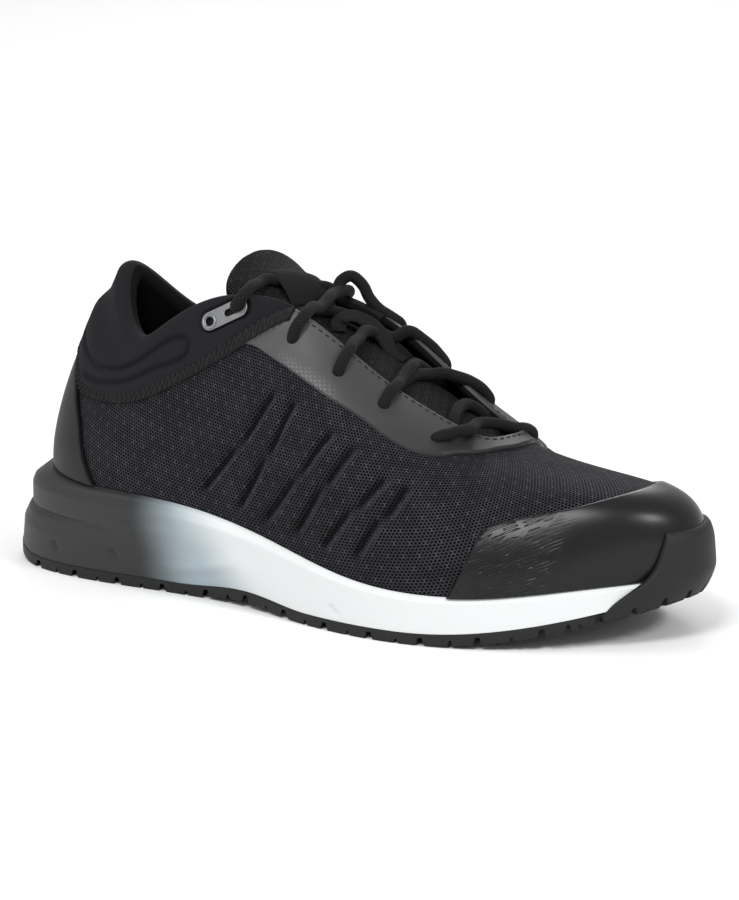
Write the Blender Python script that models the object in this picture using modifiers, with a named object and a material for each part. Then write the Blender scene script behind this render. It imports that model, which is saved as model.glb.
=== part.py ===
# Low work shoe for the right foot, standing on its sole.
# The toe points along +X, the outer side of the foot along -Y, up is +Z.
# Tables and sizes are in millimetres, measured from the back of the heel.
import bpy
import bmesh
import numpy as np
from mathutils import Matrix, Vector

MM = 0.001
SHOE_NAME = "work_shoe"
PLAN_CENTRE = (150.95, 0.25)

# Clearances and wall thicknesses
GAP = 0.3
SOLE_GAP = 0.45
UPPER_WALL = 2.2
OVERLAY_GAP = 0.5
OVERLAY_WALL = 1.2
EYESTAY_LIFT = 0.15
COLLAR_GAP = 0.8
COLLAR_PANEL = 1.6
COLLAR_ROLL = 3.0
COLLAR_DEPTH = 0.30
COLLAR_HEM = 0.7
COLLAR_FADE = 0.2
COLLAR_THIN = 0.25
COLLAR_LINES = 4
SEAM_GAP = 0.02
SHARP_ANGLE = 40.0
MERGE_DISTANCE = 0.00001

# Ground profile of the outsole
OUTSOLE_EDGE = 5.0
HEEL_BEVEL_RISE = 5.0
HEEL_FLAT_FROM = 25.0
ARCH_FROM = 95.0
ARCH_TO = 165.0
ARCH_RISE = 2.4
SPRING_FROM = 204.0
SPRING_RUN = 96.0
TOE_SPRING = 18.5

# Toe bumper
BUMPER_LIP = 1.8
BUMPER_SEAT = 0.9
BUMPER_SPREAD = 9.0
BUMPER_REACH = 0.4
BUMPER_STEPS = 15

# Inside of the sole
INSOLE_THICK = 4.0
INSOLE_SEAT = 0.6
REBATE_DROP = 1.0
CUP_SLOPE = 1.0

# Lace and its plates
LACE_RADIUS = 2.7
LACE_CLEAR = 1.2
LACE_LIFT = 1.4
LACE_TILT = 0.8
START_SHARE = 0.45
START_INSIDE = 6.5
CROSS_SHARES = (0.3, 0.5, 0.7)
CROSS_STEPS = 11
BAR_SHARES = (0.35, 0.65)
BAR_STEPS = 10
BAND_SHARES = (-0.8, -0.3, 0.3, 0.8)
TOP_STEPS = 16
TOP_RISE = 0.96
LIP_OUT = 3.0
LIP_LIFT = 1.0
PLATE_LENGTH = 21.0
PLATE_WIDTH = 7.0
PLATE_THICK = 1.0
PLATE_HOLE = 3.2
ROUND_STEPS = 12

# Rim of the midsole around the foot. The ledge runs from the rim in and up to
# the upper, tuck is how far the outsole stands inside the rim, and tier is the
# strength of the stepped heel.
# station, rim_x, rim_y, rim_z, ledge_in, ledge_up, tuck, tier
SOLE_ROWS = (
    ("heel_back", 4.0, 0.0, 34.0, 10.2, 7.0, -5.0, 1.0),
    ("heel_corner_lat", 15.0, -28.0, 34.0, 9.6, 5.8, -4.0, 1.0),
    ("heel_lat", 42.0, -41.5, 34.5, 4.6, 4.0, -1.0, 0.8),
    ("shank_lat", 106.0, -49.8, 35.0, 2.5, 2.3, 7.8, 0.0),
    ("waist_lat", 143.0, -52.0, 29.5, 2.0, 1.3, 3.8, 0.0),
    ("joint_lat", 187.0, -56.5, 20.3, 1.8, 0.9, 0.5, 0.0),
    ("forefoot_lat", 230.0, -50.0, 18.6, 1.8, 0.8, 0.0, 0.0),
    ("toe_corner_lat", 271.0, -27.0, 23.0, 2.2, 1.0, 0.0, 0.0),
    ("toe_tip", 299.0, 10.0, 26.0, 2.5, 1.0, 0.0, 0.0),
    ("toe_corner_med", 281.0, 38.5, 24.5, 2.2, 1.0, 0.0, 0.0),
    ("forefoot_med", 246.0, 52.0, 20.5, 1.8, 0.8, 0.0, 0.0),
    ("joint_med", 203.0, 57.0, 20.0, 1.8, 0.9, 1.0, 0.0),
    ("waist_med", 150.0, 45.5, 30.0, 2.0, 1.3, 4.5, 0.0),
    ("shank_med", 105.0, 38.2, 36.5, 2.5, 2.3, 9.8, 0.0),
    ("heel_med", 48.0, 37.5, 35.0, 4.6, 4.0, 0.0, 0.8),
    ("heel_corner_med", 15.0, 27.0, 34.0, 9.6, 5.8, -4.0, 1.0),
)

# Opening edge of the upper at the same stations, and the two handles that
# shape the wall between the sole and that edge.
# station, open_x, open_y, open_z, low_out, low_up, top_out, top_down
UPPER_ROWS = (
    ("heel_back", 44.0, 0.0, 118.5, 0.5, 28.0, 16.0, 22.0),
    ("heel_corner_lat", 52.5, -18.0, 105.0, 1.0, 25.0, 10.0, 25.0),
    ("heel_lat", 66.0, -28.0, 93.5, 1.0, 22.0, 5.0, 20.0),
    ("shank_lat", 98.0, -31.0, 110.0, 0.0, 24.0, 6.0, 28.0),
    ("waist_lat", 131.0, -26.5, 118.5, 1.0, 30.0, 12.0, 28.0),
    ("joint_lat", 168.0, -16.5, 94.5, 3.0, 35.0, 28.0, 8.0),
    ("forefoot_lat", 193.0, -11.5, 79.0, 3.0, 26.0, 26.0, 8.0),
    ("toe_corner_lat", 210.0, -4.0, 69.8, 3.0, 26.0, 42.0, 15.5),
    ("toe_tip", 216.0, 7.0, 68.5, 4.6, 41.0, 53.0, 19.0),
    ("toe_corner_med", 216.0, 16.0, 68.8, 5.0, 31.0, 29.5, 25.0),
    ("forefoot_med", 205.0, 20.5, 72.0, 3.0, 28.0, 19.0, 17.0),
    ("joint_med", 180.0, 20.5, 88.5, 2.0, 34.0, 21.0, 13.0),
    ("waist_med", 139.0, 26.5, 108.0, 1.0, 30.0, 12.0, 24.0),
    ("shank_med", 98.0, 30.0, 108.0, 2.0, 24.0, 5.0, 26.0),
    ("heel_med", 69.0, 28.0, 93.5, 1.0, 22.0, 5.0, 20.0),
    ("heel_corner_med", 53.0, 17.5, 105.0, 1.0, 25.0, 9.0, 25.0),
)

# Grid lines of the upper between one outer station and the next, heel to toe
STATION_STEPS = (4, 3, 4, 3, 5, 4, 6, 5)
# Grid lines of the upper from the sole to its opening edge
WALL_LINES = (0.0, 0.12, 0.25, 0.37, 0.49, 0.61, 0.74, 0.87, 1.0)
# Points read along a line when a place on it is looked up
READ_STEPS = 241
# Last part of the wall that gives the direction of its edge
EDGE_STEP = 0.04

# Side of the midsole from the outsole to the rim: the share of the way from
# the outsole's edge to the rim's edge, plain and at the stepped heel.
# height_share, plain_share, tier_share, notch
SIDE_ROWS = (
    (0.00, 0.00, 0.00, 0.0),
    (0.36, 0.48, 0.18, 0.0),
    (0.56, 0.66, 0.72, 0.0),
    (0.60, 0.70, 1.00, 1.8),
    (0.64, 0.73, 1.00, 0.0),
    (0.92, 1.00, 1.00, 0.0),
    (1.00, 1.00, 1.00, 1.0),
)

# Top of the midsole under the foot
# from_heel, height
FOOTBED_ROWS = (
    (0.0, 28.5), (50.0, 27.5), (100.0, 26.0), (140.0, 21.0),
    (180.0, 15.0), (210.0, 13.3), (240.0, 14.3), (270.0, 18.5), (300.0, 24.3),
)

# Edges of the overlays on the outer side. Round is the place around the shoe,
# rise the share of the wall from the sole to the opening edge.
# round, rise
TOE_CAP_EDGE = (
    (0.360, 0.00), (0.372, 0.16), (0.388, 0.33), (0.414, 0.44),
    (0.440, 0.48), (0.469, 0.49), (0.488, 0.50), (0.506, 0.51),
)
COUNTER_EDGE = (
    (0.000, 0.56), (0.020, 0.555), (0.051, 0.48), (0.082, 0.32), (0.109, 0.00),
)
COLLAR_EDGE = (
    (0.000, 0.60), (0.020, 0.59), (0.047, 0.55), (0.089, 0.61), (0.159, 0.69),
    (0.197, 0.75), (0.227, 0.83), (0.238, 0.88), (0.253, 0.97),
)
EYESTAY_EDGE = (
    (0.228, 0.82), (0.245, 0.76), (0.288, 0.71), (0.312, 0.70), (0.338, 0.66),
    (0.352, 0.66), (0.372, 0.70), (0.403, 0.82), (0.454, 0.93), (0.506, 0.95),
)

# Padding inside the collar, thick behind the ankle and thin beside the tongue
# round, pad
COLLAR_PAD_ROWS = ((0.000, 4.5), (0.150, 4.0), (0.205, 1.6), (0.253, 0.9))
# Roll of the collar over the edge of the upper
# layer, share_of_layer, share_of_roll
COLLAR_ROLL_ROWS = (("panel", 0.6, 0.8), ("wall", 0.5, 1.0), ("pad", 0.7, 0.7))

# Lace holes on the outer side, toe to ankle, and the plate on the collar
# round, rise
EYELET_ROWS = ((0.376, 0.81), (0.328, 0.83), (0.292, 0.85), (0.255, 0.87))
PLATE_FROM = (0.193, 0.92)
PLATE_TO = (0.223, 0.95)

# Toe bumper, from inside the outsole up to its top edge
# height_share, end_lat_y, end_med_y, thick
BUMPER_ROWS = (
    (0.00, -25.5, 36.5, 1.3),
    (0.22, -20.0, 35.0, 2.2),
    (0.42, -13.0, 33.0, 4.2),
    (0.80, -8.0, 30.0, 4.4),
    (1.00, -6.5, 29.0, 2.6),
)
BUMPER_TOP = 44.0
BUMPER_FOOT = 2.0

# Tongue from the vamp to its top
# from_heel, middle_y, height, half_width, thick
TONGUE_ROWS = (
    (222.0, 6.0, 61.0, 12.0, 3.0),
    (203.0, 5.5, 71.0, 16.0, 5.0),
    (190.0, 5.0, 78.5, 19.0, 6.0),
    (175.0, 4.0, 87.0, 21.5, 6.0),
    (160.0, 3.5, 95.5, 22.5, 6.5),
    (145.0, 2.5, 103.5, 21.5, 7.0),
    (130.0, 1.5, 111.5, 20.5, 7.5),
    (118.0, 1.5, 119.8, 22.0, 8.5),
    (109.0, 2.5, 127.3, 25.0, 9.0),
    (104.5, 2.5, 131.0, 22.0, 7.0),
)
TONGUE_CROWN = 0.0118
TONGUE_TAPER = 0.6
TONGUE_COLUMNS = 9

# Plain band on the tongue that holds the top of the lace
KEEPER_FROM_HEEL = 121.5
KEEPER_ALONG = 17.0
KEEPER_HALF_WIDTH = 13.0
KEEPER_THICK = 1.2
KEEPER_SEAT = 0.5
KEEPER_STEPS = 8
KEEPER_COLUMNS = 5

# Long grooves of the tread as shares of the half width, outer side negative
# share, from_heel, to_heel, width
LONG_GROOVES = (
    (-0.50, 14.0, 250.0, 3.6),
    (-0.13, 8.0, 268.0, 3.6),
    (0.26, 10.0, 272.0, 3.6),
    (0.63, 20.0, 262.0, 3.2),
)
LONG_DEPTH = 3.0
CROSS_DEPTH = 2.6
BENT_DEPTH = 2.2
GROOVE_POINTS = 11
# Cross grooves run out to one side between two places, one after another
# first, last, count, lean, share_in, share_out, width
CROSS_GROOVES = (
    (18.0, 250.0, 12, 9.0, -0.50, -1.12, 2.6),
    (30.0, 262.0, 11, -8.0, 0.63, 1.14, 2.6),
)
# Bent cross grooves in the lanes between the long grooves
BENT_FROM = 0.4
BENT_TO = 0.6
# first, last, count, share_a, share_b, bend, width
BENT_GROOVES = (
    (26.0, 236.0, 7, -0.50, -0.13, 9.0, 2.6),
    (30.0, 254.0, 8, -0.13, 0.26, -9.0, 2.6),
    (30.0, 246.0, 7, 0.26, 0.63, 9.0, 2.6),
)

# Finish of each piece: colour, roughness, metallic
FINISHES = {
    "outsole": ((0.030, 0.030, 0.031), 0.62, 0.0),
    "midsole": ((0.80, 0.83, 0.83), 0.48, 0.0),
    "upper": ((0.020, 0.020, 0.022), 0.85, 0.0),
    "insole": ((0.035, 0.035, 0.037), 0.90, 0.0),
    "tongue": ((0.022, 0.022, 0.024), 0.88, 0.0),
    "tongue_keeper": ((0.016, 0.016, 0.017), 0.70, 0.0),
    "toe_cap": ((0.012, 0.012, 0.013), 0.32, 0.0),
    "heel_counter": ((0.040, 0.040, 0.042), 0.55, 0.0),
    "eyestay": ((0.070, 0.070, 0.073), 0.55, 0.0),
    "collar": ((0.032, 0.031, 0.037), 0.72, 0.0),
    "lace_plate": ((0.55, 0.56, 0.58), 0.30, 1.0),
    "lace": ((0.017, 0.017, 0.018), 0.85, 0.0),
}


def columns(rows, first=1):
    return np.array([row[first:] for row in rows], float)


def ring_knots(plan):
    step = np.linalg.norm(np.roll(plan, -1, 0) - plan, axis=1)
    return np.concatenate([[0.0], np.cumsum(step)[:-1]]) / step.sum()


def ring_spline(u, knots, rows):
    # Closed cubic spline through rows at their knots, where 1 is a full turn
    count = len(knots)
    span = np.diff(np.append(knots, knots[0] + 1.0))
    matrix = np.zeros((count, count))
    for i in range(count):
        matrix[i, i - 1] += span[i - 1]
        matrix[i, i] += 2.0 * (span[i - 1] + span[i])
        matrix[i, (i + 1) % count] += span[i]
    slope = (np.roll(rows, -1, 0) - rows) / span[:, None]
    bend = np.linalg.solve(matrix, 6.0 * (slope - np.roll(slope, 1, 0)))
    u = np.mod(np.asarray(u, float), 1.0)
    i = np.clip(np.searchsorted(knots, u, side="right") - 1, 0, count - 1)
    j = (i + 1) % count
    width = span[i][..., None]
    b = (u - knots[i])[..., None] / width
    a = 1.0 - b
    curve = (a ** 3 - a) * bend[i] + (b ** 3 - b) * bend[j]
    return a * rows[i] + b * rows[j] + curve * width ** 2 / 6.0


SOLE = columns(SOLE_ROWS)
UPPER = columns(UPPER_ROWS)
KNOTS = ring_knots(SOLE[:, :2])
RIM_LENGTH = np.linalg.norm(np.roll(SOLE[:, :2], -1, 0) - SOLE[:, :2], axis=1).sum()
STATION = {row[0]: u for row, u in zip(SOLE_ROWS, KNOTS)}
TOE = STATION["toe_tip"]
OUTER_KNOTS = [STATION[row[0]] for row in SOLE_ROWS[:9]]
INNER_KNOTS = [1.0] + [STATION[row[0]] for row in SOLE_ROWS[:7:-1]]


def mirrored(u):
    # Place on the inner side that faces a place on the outer side
    return np.interp(u, OUTER_KNOTS, INNER_KNOTS)


def ring_lines():
    # Places around the shoe, the inner half facing the outer half
    outer = [0.0]
    for i, steps in enumerate(STATION_STEPS):
        part = np.linspace(OUTER_KNOTS[i], OUTER_KNOTS[i + 1], steps + 1)
        outer.extend(part[1:])
    outer = np.array(outer)
    return np.concatenate([outer, mirrored(outer[-2:0:-1])])


RING = ring_lines()


def sole_at(u):
    return ring_spline(u, KNOTS, SOLE)


def outward(u):
    # Level direction away from the foot at a place around the shoe
    step = 0.002
    u = np.asarray(u, float)
    run = sole_at(u + step)[..., :2] - sole_at(u - step)[..., :2]
    run /= np.linalg.norm(run, axis=-1, keepdims=True)
    return np.stack([run[..., 1], -run[..., 0], np.zeros(run.shape[:-1])], -1)


def feather(u):
    # Line where the upper meets the midsole
    row = sole_at(u)
    edge = np.stack([row[..., 0], row[..., 1], row[..., 2] + row[..., 4]], -1)
    return edge - outward(u) * row[..., 3:4]


def upper_at(u, rise):
    # Outer surface of the upper
    u = np.asarray(u, float)
    rise = np.asarray(rise, float)[..., None]
    row = ring_spline(u, KNOTS, UPPER)
    out = outward(u)
    up = np.array([0.0, 0.0, 1.0])
    low = feather(u)
    top = row[..., 0:3]
    low_handle = low + out * row[..., 3:4] + up * row[..., 4:5]
    top_handle = top + out * row[..., 5:6] - up * row[..., 6:7]
    rest = 1.0 - rise
    return (rest ** 3 * low + 3.0 * rest ** 2 * rise * low_handle
            + 3.0 * rest * rise ** 2 * top_handle + rise ** 3 * top)


def upper_normal(u, rise):
    step = 0.004
    u = np.asarray(u, float)
    rise = np.clip(np.asarray(rise, float), step, 1.0 - step)
    around = upper_at(u + step, rise) - upper_at(u - step, rise)
    along = upper_at(u, rise + step) - upper_at(u, rise - step)
    normal = np.cross(around, along)
    return normal / np.linalg.norm(normal, axis=-1, keepdims=True)


def skin(u, rise, offset):
    return upper_at(u, rise) + upper_normal(u, rise) * offset


def ground(x):
    # Underside of the outsole: heel bevel, arch and toe spring
    heel = HEEL_BEVEL_RISE * np.clip((HEEL_FLAT_FROM - x) / HEEL_FLAT_FROM, 0.0, None) ** 2
    share = np.clip((x - ARCH_FROM) / (ARCH_TO - ARCH_FROM), 0.0, 1.0)
    arch = ARCH_RISE * np.sin(np.pi * share) ** 2
    spring = TOE_SPRING * np.clip((x - SPRING_FROM) / SPRING_RUN, 0.0, None) ** 2
    return heel + arch + spring


def footbed(x):
    rows = columns(FOOTBED_ROWS, 0)
    return np.interp(x, rows[:, 0], rows[:, 1])


def world(points):
    shift = np.array([PLAN_CENTRE[0], PLAN_CENTRE[1], 0.0])
    return (np.asarray(points, float) - shift) * MM


def with_height(plan, height):
    return np.concatenate([plan[..., :2], np.asarray(height)[..., None]], -1)


def new_collection(name):
    collection = bpy.data.collections.new(name)
    bpy.context.scene.collection.children.link(collection)
    return collection


def material(name):
    colour, roughness, metallic = FINISHES[name]
    finish = bpy.data.materials.get(name) or bpy.data.materials.new(name)
    finish.use_nodes = True
    shader = finish.node_tree.nodes["Principled BSDF"]
    shader.inputs["Base Color"].default_value = (*colour, 1.0)
    shader.inputs["Roughness"].default_value = roughness
    shader.inputs["Metallic"].default_value = metallic
    return finish


def mesh_object(name, verts, faces, collection, finish=None):
    mesh = bpy.data.meshes.new(name)
    mesh.from_pydata([tuple(v) for v in world(verts)], [], faces)
    tidy = bmesh.new()
    tidy.from_mesh(mesh)
    bmesh.ops.recalc_face_normals(tidy, faces=tidy.faces)
    tidy.to_mesh(mesh)
    tidy.free()
    piece = bpy.data.objects.new(name, mesh)
    collection.objects.link(piece)
    if finish:
        mesh.materials.append(material(finish))
        mesh.shade_smooth()
        mesh.set_sharp_from_angle(angle=np.radians(SHARP_ANGLE))
    else:
        piece.hide_render = True
        piece.display_type = "WIRE"
    return piece


def ladder(start, count, flip):
    # Rungs across a ring, from each outer point to the inner point facing it
    faces = [(start, start + 1, start + count - 1)]
    half = count // 2
    for i in range(1, half - 1):
        faces.append((start + i, start + i + 1, start + count - i - 1, start + count - i))
    faces.append((start + half - 1, start + half, start + half + 1))
    return [face[::-1] for face in faces] if flip else faces


def ring_solid(name, rings, collection, finish):
    # Closed solid through rings of equal count, closed by rungs at both ends
    count = len(rings[0])
    faces = ladder(0, count, True)
    for k in range(len(rings) - 1):
        for i in range(count):
            j = (i + 1) % count
            faces.append((k * count + i, k * count + j,
                          (k + 1) * count + j, (k + 1) * count + i))
    faces += ladder((len(rings) - 1) * count, count, False)
    return mesh_object(name, np.concatenate(rings), faces, collection, finish)


def swept_solid(name, sections, collection, finish=None):
    # Closed solid through closed sections, with a face at each end
    count = len(sections[0])
    faces = [tuple(range(count))[::-1]]
    for k in range(len(sections) - 1):
        for i in range(count):
            j = (i + 1) % count
            faces.append((k * count + i, k * count + j,
                          (k + 1) * count + j, (k + 1) * count + i))
    last = (len(sections) - 1) * count
    faces.append(tuple(range(last, last + count)))
    return mesh_object(name, np.concatenate(sections), faces, collection, finish)


def boolean(piece, other, operation, solver="EXACT"):
    change = piece.modifiers.new(operation.lower(), "BOOLEAN")
    change.operation = operation
    change.solver = solver
    change.object = other


def toe_place(y):
    # Place around the toe where the rim crosses a given y
    reach = np.linspace(STATION["forefoot_lat"], STATION["forefoot_med"], READ_STEPS)
    return np.interp(y, sole_at(reach)[:, 1], reach)


def bumper_window(u):
    # 1 along the bumper, falling to 0 past its ends
    low, high = toe_place(BUMPER_ROWS[0][1]), toe_place(BUMPER_ROWS[0][2])
    fade = BUMPER_SPREAD / RIM_LENGTH
    rise = np.clip((u - low + fade) / fade, 0.0, 1.0)
    fall = np.clip((high + fade - u) / fade, 0.0, 1.0)
    return np.minimum(rise, fall)


def outsole_outline(u):
    row = sole_at(u)
    stand = BUMPER_LIP * bumper_window(u) - row[..., 5]
    return row[..., :2] + outward(u)[..., :2] * stand[..., None]


def half_widths(x):
    # Outer and inner edge of the outsole at a distance from the heel
    outer = np.linspace(0.0, TOE, READ_STEPS)
    inner = np.linspace(1.0, TOE, READ_STEPS)
    lat, med = outsole_outline(outer), outsole_outline(inner)
    return np.interp(x, lat[:, 0], lat[:, 1]), np.interp(x, med[:, 0], med[:, 1])


def across(x, share):
    lat, med = half_widths(x)
    return 0.5 * (lat + med) + 0.5 * (med - lat) * share


def ribbon(points, width, depth):
    # Sections of a groove cutter that follows the underside along points
    points = np.asarray(points, float)
    run = np.gradient(points, axis=0)
    run /= np.linalg.norm(run, axis=1, keepdims=True)
    side = np.stack([-run[:, 1], run[:, 0]], -1) * width / 2.0
    sections = []
    for p, s in zip(points, side):
        top = ground(p[0]) + depth
        low = ground(p[0]) - depth
        sections.append(np.array([[*(p - s), low], [*(p + s), low],
                                  [*(p + s), top], [*(p - s), top]]))
    return sections


def joined_ribbons(name, ribbons, cutters):
    # One cutter object from ribbons that stay clear of each other
    verts, faces, start = [], [], 0
    for sections in ribbons:
        count = len(sections[0])
        faces.append(tuple(range(start, start + count))[::-1])
        for k in range(len(sections) - 1):
            for i in range(count):
                j = (i + 1) % count
                low, high = start + k * count, start + (k + 1) * count
                faces.append((low + i, low + j, high + j, high + i))
        start += len(sections) * count
        faces.append(tuple(range(start - count, start)))
        verts.extend(sections)
    return mesh_object(name, np.concatenate(verts), faces, cutters)


def long_grooves(cutters):
    ribbons = []
    for share, low, high, width in LONG_GROOVES:
        x = np.linspace(low, high, GROOVE_POINTS)
        ribbons.append(ribbon(np.stack([x, across(x, share)], -1), width, LONG_DEPTH))
    return joined_ribbons("long_groove_cutter", ribbons, cutters)


def cross_grooves(cutters):
    ribbons = []
    for first, last, count, lean, share_in, share_out, width in CROSS_GROOVES:
        for x in np.linspace(first, last, count):
            ends = [(x, across(x, share_in)), (x + lean, across(x + lean, share_out))]
            ribbons.append(ribbon(ends, width, CROSS_DEPTH))
    return joined_ribbons("cross_groove_cutter", ribbons, cutters)


def bent_grooves(cutters):
    ribbons = []
    for first, last, count, share_a, share_b, bend, width in BENT_GROOVES:
        for x in np.linspace(first, last, count):
            shares = share_a + (share_b - share_a) * np.array([0.0, BENT_FROM, BENT_TO, 1.0])
            xs = x + bend * np.array([0.0, 0.0, 1.0, 1.0])
            ribbons.append(ribbon(np.stack([xs, across(xs, shares)], -1), width, BENT_DEPTH))
    return joined_ribbons("bent_groove_cutter", ribbons, cutters)


def bumper(cutters):
    # Rubber that wraps up the front of the toe
    wall = np.linspace(0.0, BUMPER_REACH, READ_STEPS)
    sections = []
    for w in np.linspace(0.0, 1.0, BUMPER_STEPS):
        inner, outer = [], []
        for share, lat_y, med_y, thick in BUMPER_ROWS:
            u = toe_place(lat_y) * (1.0 - w) + toe_place(med_y) * w
            row = sole_at(u)
            out = outward(u)
            bottom = float(ground(row[0])) + BUMPER_FOOT
            height = bottom + (BUMPER_TOP - bottom) * share
            profile = skin(np.full_like(wall, u), wall, OVERLAY_GAP + OVERLAY_WALL + GAP)
            plan = np.array([np.interp(height, profile[:, 2], profile[:, i]) for i in (0, 1)])
            reach = (plan - row[:2]) @ out[:2]
            above_rim = height > row[2] + row[4]
            stand = reach if above_rim else max(reach, BUMPER_SEAT)
            inner.append(np.array([*(row[:2] + out[:2] * stand), height]))
            outer.append(np.array([*(row[:2] + out[:2] * (stand + thick)), height]))
        sections.append(np.array(inner + outer[::-1]))
    return swept_solid("bumper_form", sections, cutters)


def make_outsole(parts, cutters):
    plan = outsole_outline(RING)
    low = with_height(plan, ground(plan[:, 0]))
    high = with_height(plan, ground(plan[:, 0]) + OUTSOLE_EDGE)
    piece = ring_solid("outsole", [low, high], parts, "outsole")
    boolean(piece, bumper(cutters), "UNION")
    for cutter in (long_grooves(cutters), cross_grooves(cutters), bent_grooves(cutters)):
        boolean(piece, cutter, "DIFFERENCE", "MANIFOLD")
    return piece


def make_midsole(parts):
    row = sole_at(RING)
    out = outward(RING)[:, :2]
    rim, tier = row[:, :2], row[:, 6]
    foot = rim - out * row[:, 5:6]
    base = ground(foot[:, 0]) + OUTSOLE_EDGE + SOLE_GAP
    rings = []
    for height, plain, stepped, notch in SIDE_ROWS:
        share = plain + (stepped - plain) * tier
        inset = notch * (tier if height < 1.0 else 1.0)
        plan = foot + (rim - foot) * share[:, None] - out * np.asarray(inset)[..., None]
        rings.append(with_height(plan, base + (row[:, 2] - base) * height))
    seat = feather(RING)
    inside = seat[:, :2] - out * (UPPER_WALL + REBATE_DROP)
    bed = inside - out * CUP_SLOPE
    rings.append(with_height(seat[:, :2], seat[:, 2] - GAP))
    rings.append(with_height(inside, seat[:, 2] - GAP - REBATE_DROP))
    rings.append(with_height(bed, footbed(bed[:, 0])))
    return ring_solid("midsole", rings, parts, "midsole")


def make_insole(parts):
    inset = UPPER_WALL + REBATE_DROP + CUP_SLOPE + GAP
    plan = feather(RING)[:, :2] - outward(RING)[:, :2] * inset
    bed = footbed(plan[:, 0]) + INSOLE_SEAT
    return ring_solid("insole", [with_height(plan, bed), with_height(plan, bed + INSOLE_THICK)],
                      parts, "insole")


def shell(name, keep, offset, thick, parts, finish):
    # Part of the upper's own grid between two edges, as a wall of one thickness.
    # keep gives the low and the high edge for a place around the shoe.
    lines = np.array(WALL_LINES)
    grid = skin(RING[:, None], np.broadcast_to(lines, (len(RING), len(lines))), offset)
    verts, index, faces = [], {}, []

    def point(i, rise):
        key = (i, round(float(rise), 6))
        if key not in index:
            index[key] = len(verts)
            verts.append([np.interp(rise, lines, grid[i, :, k]) for k in range(3)])
        return index[key]

    for i in range(len(RING)):
        j = (i + 1) % len(RING)
        for a, b in zip(lines[:-1], lines[1:]):
            span_i = np.clip([a, b], *keep(RING[i]))
            span_j = np.clip([a, b], *keep(RING[j]))
            if span_i[0] == span_i[1] and span_j[0] == span_j[1]:
                continue
            loop = [point(i, span_i[0]), point(j, span_j[0]),
                    point(j, span_j[1]), point(i, span_i[1])]
            faces.append([v for k, v in enumerate(loop) if v != loop[k - 1]])
    piece = mesh_object(name, verts, faces, parts, finish)
    split = piece.modifiers.new("split", "TRIANGULATE")
    split.quad_method = "FIXED"
    wall = piece.modifiers.new("wall", "SOLIDIFY")
    wall.thickness = thick * MM
    wall.offset = -1.0
    return piece


def outer_place(u):
    # Place on the outer side that a place on either side stands for
    return u if u <= TOE else float(np.interp(u, INNER_KNOTS[::-1], OUTER_KNOTS[::-1]))


def edge_rise(rows, u):
    rows = np.array(rows)
    return float(np.interp(u, rows[:, 0], rows[:, 1]))


def keep_all(u):
    return 0.0, 1.0


def keep_toe_cap(u):
    return 0.0, edge_rise(TOE_CAP_EDGE, outer_place(u))


def keep_counter(u):
    return 0.0, edge_rise(COUNTER_EDGE, outer_place(u))


def keep_eyestay(u):
    # From its own low edge up to the collar, or to the throat past the collar
    u = outer_place(u)
    high = edge_rise(COLLAR_EDGE, u) - SEAM_GAP if u < COLLAR_EDGE[-1][0] else 1.0
    return min(edge_rise(EYESTAY_EDGE, u), high), high


def make_collar(parts):
    # Padded collar: a panel outside, a roll over the edge and a pad inside
    u_end = COLLAR_EDGE[-1][0]
    lines = [u for u in RING if outer_place(u) < u_end]
    lines = sorted((u - 1.0 if u > TOE else u) for u in lines)
    sections = []
    for u in lines:
        place = u % 1.0
        low = edge_rise(COLLAR_EDGE, outer_place(place))
        deep = min(low, 1.0 - COLLAR_DEPTH) + SEAM_GAP
        inside = -UPPER_WALL - COLLAR_GAP
        fade = np.clip((1.0 - low) / COLLAR_FADE, COLLAR_THIN, 1.0)
        panel = COLLAR_GAP + COLLAR_PANEL * fade
        pad = inside - edge_rise(COLLAR_PAD_ROWS, outer_place(place))
        layers = {"panel": panel, "wall": -UPPER_WALL, "pad": pad}
        edge_run = upper_at(place, 1.0) - upper_at(place, 1.0 - EDGE_STEP)
        edge_run = edge_run / np.linalg.norm(edge_run)
        rise = np.linspace(low, 1.0, COLLAR_LINES)
        drop = np.linspace(1.0, deep, COLLAR_LINES)

        def at(t, offset, lift=0.0):
            return skin(place, t, offset) + edge_run * lift

        loop = [at(t, panel) for t in rise]
        for layer, share, height in COLLAR_ROLL_ROWS:
            loop.append(at(1.0, share * layers[layer], COLLAR_GAP + height * COLLAR_ROLL))
        loop += [at(t, pad) for t in drop[:-1]]
        loop.append(at(drop[-1], inside - COLLAR_HEM))
        loop += [at(t, inside) for t in drop[::-1]]
        loop.append(at(1.0, inside, COLLAR_GAP))
        loop.append(at(1.0, COLLAR_GAP, COLLAR_GAP))
        loop += [at(t, COLLAR_GAP) for t in rise[::-1]]
        sections.append(np.array(loop))
    return swept_solid("collar", sections, parts, "collar")


def tongue_section(row):
    x, middle, height, half, thick = row
    share = np.linspace(-1.0, 1.0, TONGUE_COLUMNS)
    y = middle + half * share
    top = height - TONGUE_CROWN * (half * share) ** 2
    low = top - thick * (1.0 - TONGUE_TAPER * share ** 2)
    upper_side = np.stack([np.full_like(y, x), y, top], -1)
    under_side = np.stack([np.full_like(y, x), y, low], -1)
    return np.concatenate([upper_side, under_side[::-1]])


def make_tongue(parts):
    return swept_solid("tongue", [tongue_section(row) for row in TONGUE_ROWS], parts, "tongue")


def tongue_top(x, y):
    rows = np.array(TONGUE_ROWS)[::-1]
    middle = np.interp(x, rows[:, 0], rows[:, 1])
    height = np.interp(x, rows[:, 0], rows[:, 2])
    return height - TONGUE_CROWN * (y - middle) ** 2


def keeper_middle():
    rows = np.array(TONGUE_ROWS)[::-1]
    return float(np.interp(KEEPER_FROM_HEEL, rows[:, 0], rows[:, 1]))


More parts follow.
